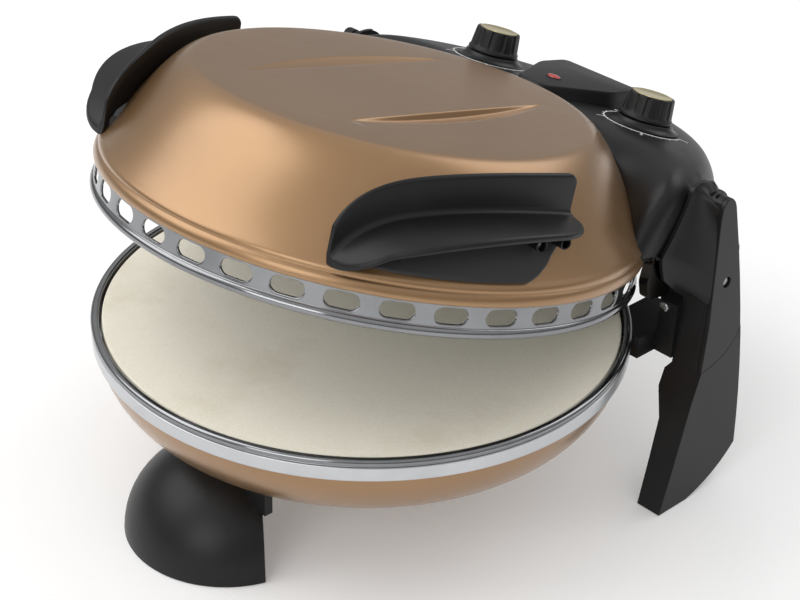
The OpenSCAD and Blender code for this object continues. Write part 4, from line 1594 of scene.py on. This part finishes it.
    def _row(self, x: float) -> list[Spot]:
        """Draws aims up the front, over the top and down the rear.

        Args:
            x: Place across the housing.

        Returns:
            The aims, near the outer face.
        """
        skirt = swapped(self._skirt())
        levels = self._levels()
        brow_y = self.brow_y
        brow_h = self.brow_h
        back = self.plan_y + math.sqrt(self.plan_r ** 2 - min(abs(x), self.end_x) ** 2)
        flat_r = self.plan_r - 27
        bend_y = self.plan_y + math.sqrt(max(flat_r ** 2 - min(abs(x), flat_r) ** 2, 0.0))
        bend_y = max(bend_y, brow_y + (back - brow_y) * 0.45)
        aims = [(x, along(skirt, h), h) for h in levels]
        over = [*np.linspace(brow_y, bend_y, 30)[1:], *np.linspace(bend_y, back - 1, 24)[1:]]
        for y in over:
            h = min(self.panel_at(y), brow_h + (y - brow_y) * 0.9, brow_h + (back - y) * 0.7)
            aims.append((x, y, max(h, brow_h)))
        return aims + [(x, back, h) for h in reversed(levels)]

    def _end(self, x: float, count: int) -> list[list[Spot]]:
        """Draws the aims over one end face, with close columns along the wing's ridge.

        Args:
            x: Place of the face.
            count: Number of aims in each row.

        Returns:
            The rows upwards, each from front to rear.
        """
        skirt = swapped(self._skirt())
        ridge = swapped(self._ridge())
        back = self.plan_y + math.sqrt(self.plan_r ** 2 - self.end_x ** 2)
        rows = []
        for h in self._levels():
            a = along(skirt, h)
            b = along(ridge, h)
            fore = [a + (b - 1.2 - a) * k / 12 for k in range(1, 12)]
            near = [b - 1.2, b - 0.7, b - 0.3, b, b + 0.4, b + 0.9, b + 1.6]
            rest = count - len(fore) - len(near)
            aft = [b + 1.6 + (back - b - 1.6) * k / (rest + 1) for k in range(1, rest + 1)]
            rows.append([(x, y, h) for y in fore + near + aft])
        return rows

    def _skin(self) -> Form:
        """Returns the skin's aims and faces: rows over the housing and a face at each end."""
        ends = np.linspace(124, self.wing_x, 9)
        stations = [*ends[::-1], *np.linspace(120, -120, 97), *-ends]
        rows = [self._row(float(x)) for x in stations]
        levels = len(self._levels())
        over = len(rows[0]) - 2 * levels
        form = Form()
        numbers = [form.ring(row) for row in rows]
        for a, b in zip(numbers, numbers[1:]):
            form.strip(a, b, False)
        for border, x in ((numbers[0], self.wing_x), (numbers[-1], -self.wing_x)):
            previous = None
            for level, row in enumerate(self._end(x, over)):
                loop = [border[level], *form.ring(row), border[-1 - level]]
                if previous:
                    form.strip(previous, loop, False)
                previous = loop
            form.strip(previous, border[levels - 1:levels + over + 1], False)
        return form

    def shell(self) -> None:
        """Builds the housing's shell: a skin laid over its outer face, then given its wall."""
        form = self._skin()
        spots = self._pressed(np.array([tuple(p) for p in form.points]))
        floor = np.interp(spots[:, 1], [99, 103.5, 165, 228], [self.skirt_low, 8.5, 8.5, 26])
        spots[:, 2] = np.maximum(spots[:, 2], floor)
        ring_h = 24
        ring_r = 163
        edge = sorted((h, r) for r, h in self.dome.outer() if h > ring_h)
        edge = [(0, ring_r), (ring_h, ring_r), *edge]
        dome_r = np.interp(spots[:, 2], *np.array(edge).T)
        hidden = dome_r - np.hypot(spots[:, 0], spots[:, 1]) > 1.0
        form.points = [Vector(p) for p in spots]
        form.faces = [face for face in form.faces if not all(hidden[i] for i in face)]
        piece = Piece("housing_shell", Body.LID, PLASTIC, ("control_housing",))
        thing = piece.make(form, lid_frame(), 50)
        skin = thing.modifiers.new("wall", "SOLIDIFY")
        skin.thickness = self.wall * MM
        skin.offset = -1

    def _bridge_outline(self, inset: float) -> list[Pair]:
        """Draws the bridge in plan.

        Args:
            inset: How far the outline is drawn in.

        Returns:
            The outline, with rounded corners.
        """
        nose_x = 11 - inset * 0.6
        nose_y = 117 + inset
        side_x = 33 - inset
        side_y = 164 + inset * 0.3
        rear_y = 192 - inset
        corners = [(-nose_x, nose_y), (nose_x, nose_y), (side_x, side_y),
                   (side_x, rear_y), (-side_x, rear_y), (-side_x, side_y)]
        return rounded(corners, 5.0, 6)

    def bridge(self) -> None:
        """Builds the raised bridge between the knobs."""
        levels = [(68.0, -1.0), (72.0, -0.6), (74.5, -0.2), (76.0, 0.3), (79.0, 1.0),
                  (81.6, 1.5), (82.4, 1.8), (82.85, 2.4), (83.0, 3.2)]
        rows = [[(x, y, h) for x, y in self._bridge_outline(inset)] for h, inset in levels]
        piece = Piece("bridge_cover", Body.LID, PLASTIC, ("control_bridge",))
        piece.make(Form().loft(rows), lid_frame(), 40)

    def cheeks(self) -> None:
        """Builds the lid's hinge cheeks, which hang under the ends of the housing."""
        corners = [(97, -3), (114, -3), (117, 0), (117, 27), (96, 27), (92, 22), (92, 7)]
        outline = rounded(corners, 2.5, 5)
        inner_x = 132.5
        outer_x = 139.2
        rows = [[(x, y, h) for y, h in outline] for x in (inner_x, outer_x)]
        for side in Side:
            thing = Piece(f"hinge_cheek_{side.word}", Body.LID, BLACK_STEEL).make(
                Form().loft(rows), lid_frame() @ side.mirror, 30)
            eased(thing, 0.5, 40)

    def _oval(self, width: float, length: float, level: float) -> list[Spot]:
        """Draws an oval over the bridge, where the lamp is.

        Args:
            width: Its size across the bridge.
            length: Its size along the bridge.
            level: Its height.

        Returns:
            The points round it.
        """
        count = 48
        lamp_y = 142
        turns = [math.tau * i / count for i in range(count)]
        return [(width * math.cos(a) / 2, lamp_y + length * math.sin(a) / 2, level) for a in turns]

    def lamp(self) -> None:
        """Builds the oval pilot lamp with its domed lens and dark bezel."""
        lens = ((9.4, 6.4, 81.0), (9.4, 6.4, 83.3), (8.9, 5.9, 83.9), (7.4, 4.6, 84.25), (4.0, 2.4, 84.4))
        bezel = ((9.5, 6.5, 82.0), (9.5, 6.5, 83.45), (10.0, 7.0, 83.6), (11.0, 8.0, 83.35),
                 (11.4, 8.4, 82.0))
        domed = Form().loft([self._oval(*sizes) for sizes in lens])
        collar = Form().loft([self._oval(*sizes) for sizes in bezel], True, False, True)
        Piece("lamp_lens", Body.LID, LENS, ("indicator_lamp",)).make(domed, lid_frame(), 60)
        Piece("lamp_bezel", Body.LID, DIAL_PLASTIC).make(collar, lid_frame(), 50)

    def build(self) -> None:
        """Builds the housing and dresses what it holds."""
        self.shell()
        self.bridge()
        self.cheeks()
        self.lamp()
        dress(PLASTIC, "housing_base", "cord_gland")
        dress(SCREW_STEEL, "housing_screws", "hinge_arm_left", "hinge_arm_right", "handle_screws")
        dress(INNER_STEEL, "thermostat", "timer", "lid_reflector", "upper_element_clips")
        dress(SHEATH, "upper_element")
        dress(PALE, "terminal_block")


@dataclass
class Control:
    """One control: a round dial collar with its scale, and a ribbed knob with a gold top."""

    name: str
    body: Body
    side: Side
    numbers: tuple[str, ...]
    sweep: tuple[float, float]
    housing: Housing
    flare_r: float = 22.0
    bore_r: float = 5.2
    dial_t: float = 3.9
    knob_gap: float = 0.7
    arc_r: float = 24.9
    arc_w: float = 0.8
    figure_h: float = 4.2
    ink: float = 0.22
    steps_between: int = 5
    knob_r: float = 16.5
    knob_top_r: float = 14.0
    knob_h: float = 15.0
    grips: int = 12

    def collar(self) -> None:
        """Builds the flared collar under the knob."""
        t = self.dial_t
        neck = self.knob_r + 0.9
        edge = (self.flare_r, 0.1)
        profile = [(self.bore_r, -1.5), (self.flare_r, -1.5), edge,
                   *bend(edge, (neck + 0.9, 0.5), (neck, t - 0.3), 10), (neck - 0.3, t), (self.bore_r, t)]
        Piece(f"{self.name}_collar", Body.LID, DIAL_PLASTIC, (f"{self.name}_dial",)).make(
            Form().lathe(profile, 120), panel_frame(self.side.value))

    def _turn(self, share: float) -> float:
        """Returns the angle, in radians, at a share of the scale."""
        start, end = self.sweep
        return math.radians(start + (end - start) * share)

    def _arc(self) -> Form:
        """Returns the scale's arc as a flat print."""
        steps = 90
        inner = self.arc_r - self.arc_w / 2
        outer = self.arc_r + self.arc_w / 2
        rows = []
        for i in range(steps + 1):
            a = self._turn(i / steps)
            section = ((inner, 0), (outer, 0), (outer, 1), (inner, 1))
            rows.append([(r * math.cos(a), r * math.sin(a), h) for r, h in section])
        return Form().loft(rows)

    def _ticks(self) -> Form:
        """Returns the scale's ticks as a flat print, longer at the numbers."""
        form = Form()
        total = (len(self.numbers) - 1) * self.steps_between
        for i in range(total + 1):
            turn = Matrix.Rotation(self._turn(i / total), 4, "Z")
            half_w, reach = (0.45, 2.0) if i % self.steps_between == 0 else (0.3, 1.3)
            tick = Form().block((self.arc_r + 0.2, -half_w, 0), (self.arc_r + reach, half_w, 1))
            form.plus(tick.turned(turn))
        return form

    def _figure(self, text: str) -> Form:
        """Draws a number as a flat print.

        Args:
            text: The number.

        Returns:
            The print, centred, with its top away from the knob.
        """
        curve = bpy.data.curves.new("figure", "FONT")
        curve.body = text
        curve.size = self.figure_h
        curve.align_x = "CENTER"
        curve.align_y = "CENTER"
        curve.resolution_u = 3
        curve.extrude = 0.5
        thing = bpy.data.objects.new("figure", curve)
        mesh = thing.to_mesh()
        raised = [v.co + Vector((0, 0, curve.extrude)) for v in mesh.vertices]
        form = Form(raised, [tuple(f.vertices) for f in mesh.polygons])
        thing.to_mesh_clear()
        bpy.data.objects.remove(thing)
        bpy.data.curves.remove(curve)
        return form

    def _draped(self, flat: Form) -> Form:
        """Lays a flat print, drawn round the knob's axis, on the housing.

        Args:
            flat: Print with heights of 0 at its foot and 1 at its top.

        Returns:
            The print in the lid's frame.
        """
        under = -0.4
        spots = np.array([tuple(p) for p in flat.points])
        x = spots[:, 0] + self.side.value * KNOB_X
        y = spots[:, 1] + KNOB_Y
        tops = self.housing.top_at(x, y)
        rise = np.where(spots[:, 2] > 0.5, self.ink, under)
        flat.points = [Vector(p) for p in zip(x, y, tops + rise)]
        return flat

    def scale(self) -> None:
        """Prints the scale: an arc, its ticks and its numbers."""
        form = self._arc().plus(self._ticks())
        figures_r = self.arc_r + self.figure_h
        for i, text in enumerate(self.numbers):
            a = self._turn(i / (len(self.numbers) - 1))
            spot = Matrix.Translation((figures_r * math.cos(a), figures_r * math.sin(a), 0))
            form.plus(self._figure(text).turned(spot @ Matrix.Rotation(a + math.pi / 2, 4, "Z")))
        Piece(f"{self.name}_scale", Body.LID, INK).make(self._draped(form), lid_frame())

    def _ribbed(self, radius: float, height: float, angle: float) -> float:
        """Presses the flutes into the knob's side.

        Args:
            radius: Radius of the plain knob.
            height: Height over the knob's foot.
            angle: Angle round the knob.

        Returns:
            The radius with the flutes.
        """
        if radius <= self.knob_top_r - 0.6:
            return radius
        wave = math.cos(self.grips * angle)
        depth = ease(height, 2.2, 5.0) * (1 - ease(height, self.knob_h - 1.0, self.knob_h - 0.3))
        return radius - 0.75 * ease(wave, 0.25, 1.0) * depth

    def knob(self) -> None:
        """Builds the ribbed knob and its gold top."""
        r = self.knob_r
        top = self.knob_top_r
        h = self.knob_h
        low_r = r - 0.9
        low_h = 2.9
        in_r = top + 0.35 - low_r
        up_h = h - 1.2 - low_h
        side = [(r - 0.4, 0), (r, 0.4), (r, 1.7), (r - 0.5, 2.3), (low_r, low_h)]
        side += [(low_r + in_r * k / 12, low_h + up_h * k / 12) for k in range(1, 13)]
        side += [(top + 0.2, h - 0.7), (top - 0.1, h - 0.25), (top - 0.5, h),
                 (top - 1.1, h), (top - 1.4, h - 0.3), (top - 1.5, h - 0.8)]
        form = Form().lathe([(0, 0), *side, (0, h - 0.8)], ROUND_STEPS, True, self._ribbed)
        place = panel_frame(self.side.value) @ Matrix.Translation((0, 0, self.dial_t + self.knob_gap))
        Piece(f"{self.name}_grip", self.body, KNOB_PLASTIC, (f"{self.name}_knob",)).make(form, place, 40)
        disc = top - 1.55
        cap = [(0, h - 0.8), (disc, h - 0.8), (disc, h + 0.15),
               *bend((disc, h + 0.15), (disc, h + 0.4), (disc - 0.5, h + 0.4), 4),
               (disc - 2.2, h + 0.42), (disc - 2.6, h + 0.28), (0, h + 0.28)]
        Piece(f"{self.name}_cap", self.body, GOLD, (f"{self.name}_knob_cap",)).make(
            Form().lathe(cap, 120), place, 30)

    def build(self) -> None:
        """Builds the control."""
        self.collar()
        self.scale()
        self.knob()


# ---- Studio ------------------------------------------------------------------------


@dataclass
class Studio:
    """Plain pale floor, white surroundings, soft lamps and the camera."""

    lens: float = 83.41
    sensor: float = 36.0
    eye: Spot = (0.693590, -0.688691, 0.680897)
    eye_right: Spot = (0.687781, 0.725032, 0.035861)
    eye_up: Spot = (-0.391746, 0.329122, 0.859193)
    eye_back: Spot = (0.611140, -0.604985, 0.510393)
    floor_half: float = 12.0
    floor_tone: float = 0.88
    floor_lift: float = 0.16
    horizon: float = 0.20
    zenith: float = 0.75

    def camera(self) -> None:
        """Sets the camera at its viewing angle."""
        data = bpy.data.cameras.new("camera")
        data.lens = self.lens
        data.sensor_width = self.sensor
        data.sensor_fit = "HORIZONTAL"
        data.clip_end = 50
        eye = bpy.data.objects.new("camera", data)
        bpy.context.scene.collection.objects.link(eye)
        turn = Matrix((self.eye_right, self.eye_up, self.eye_back)).transposed().to_4x4()
        eye.matrix_world = Matrix.Translation(self.eye) @ turn
        bpy.context.scene.camera = eye

    def floor(self) -> None:
        """Lays the white floor, which keeps the object's shadow."""
        half = self.floor_half
        corners = [(-half, -half, 0), (half, -half, 0), (half, half, 0), (-half, half, 0)]
        mesh = bpy.data.meshes.new("floor")
        mesh.from_pydata(corners, [], [(0, 1, 2, 3)])
        floor = bpy.data.objects.new("floor", mesh)
        bpy.context.scene.collection.objects.link(floor)
        recipe = Recipe("floor_white")
        tone = self.floor_tone
        recipe.set(Base_Color=(tone, tone, tone, 1), Roughness=1.0, Specular_IOR_Level=0.0)
        rays = recipe.node("ShaderNodeLightPath")
        kinds = ("Is Camera Ray", "Is Glossy Ray", "Is Transmission Ray")
        camera, glossy, clear = (Number(recipe, rays.outputs[kind]) for kind in kinds)
        glow = {"Color": WHITE, "Strength": (camera + glossy + clear) * self.floor_lift}
        lift = recipe.node("ShaderNodeEmission", {}, glow)
        both = recipe.node("ShaderNodeAddShader", {}, {0: recipe.shader.outputs[0], 1: lift.outputs[0]})
        recipe.feed(recipe.output.inputs["Surface"], both.outputs[0])
        mesh.materials.append(recipe.material)

    def surroundings(self) -> None:
        """Makes the world white where it is seen, and elsewhere a soft light that grows upwards."""
        world = bpy.data.worlds.new("studio")
        world.use_nodes = True
        bpy.context.scene.world = world
        tree = Tree(world.node_tree)
        rays = tree.node("ShaderNodeLightPath")
        kinds = ("Is Camera Ray", "Is Transmission Ray")
        camera, clear = (Number(tree, rays.outputs[kind]) for kind in kinds)
        ways = tree.node("ShaderNodeTexCoord")
        parts = tree.node("ShaderNodeSeparateXYZ", {}, {0: ways.outputs["Generated"]})
        light = Number(tree, parts.outputs[2]).step(-0.05, 0.75, self.horizon, self.zenith)
        soft = tree.node("ShaderNodeBackground", {}, {"Color": WHITE, "Strength": light})
        white = tree.node("ShaderNodeBackground", {}, {"Color": WHITE, "Strength": 1.0})
        inputs = {0: camera + clear, 1: soft.outputs[0], 2: white.outputs[0]}
        mixed = tree.node("ShaderNodeMixShader", {}, inputs)
        tree.node("ShaderNodeOutputWorld", {}, {"Surface": mixed.outputs[0]})

    def lamp(self, name: str, place: Spot, size: float, power: float) -> None:
        """Hangs a soft area lamp that faces the object.

        Args:
            name: Name of the lamp.
            place: Where it hangs.
            size: Side of its square.
            power: Watts.
        """
        aim = Vector((0, 0, 0.15))
        data = bpy.data.lights.new(name, "AREA")
        data.shape = "SQUARE"
        data.size = size
        data.energy = power
        lamp = bpy.data.objects.new(name, data)
        bpy.context.scene.collection.objects.link(lamp)
        lamp.location = place
        lamp.rotation_mode = "QUATERNION"
        lamp.rotation_quaternion = (Vector(place) - aim).to_track_quat("Z", "Y")

    def build(self) -> None:
        """Builds the studio."""
        self.camera()
        self.floor()
        self.surroundings()
        self.lamp("key", (-0.9, -0.9, 1.5), 1.5, 15)
        self.lamp("front", (0.6, -1.7, 0.9), 1.0, 8)
        self.lamp("rear", (0.3, 1.5, 1.5), 1.3, 8)
        bpy.context.scene.view_settings.view_transform = "Standard"


def main() -> None:
    """Builds every sub-assembly in order."""
    logging.basicConfig(level=logging.INFO, format="%(message)s")
    Studio().build()
    Base().build()
    Stand().build()
    dome = Dome()
    dome.build()
    VentRing().build()
    for side in Side:
        Handle(side, dome).build()
    housing = Housing(dome)
    housing.build()
    sweep = (-196, 16)
    Control("thermostat", Body.THERMOSTAT, Side.RIGHT, ("0", "1", "2", "3"), sweep, housing).build()
    Control("timer", Body.TIMER, Side.LEFT, ("0", "5", "10", "15"), sweep, housing).build()
    bpy.context.view_layer.update()


if __name__ == "__main__":
    main()
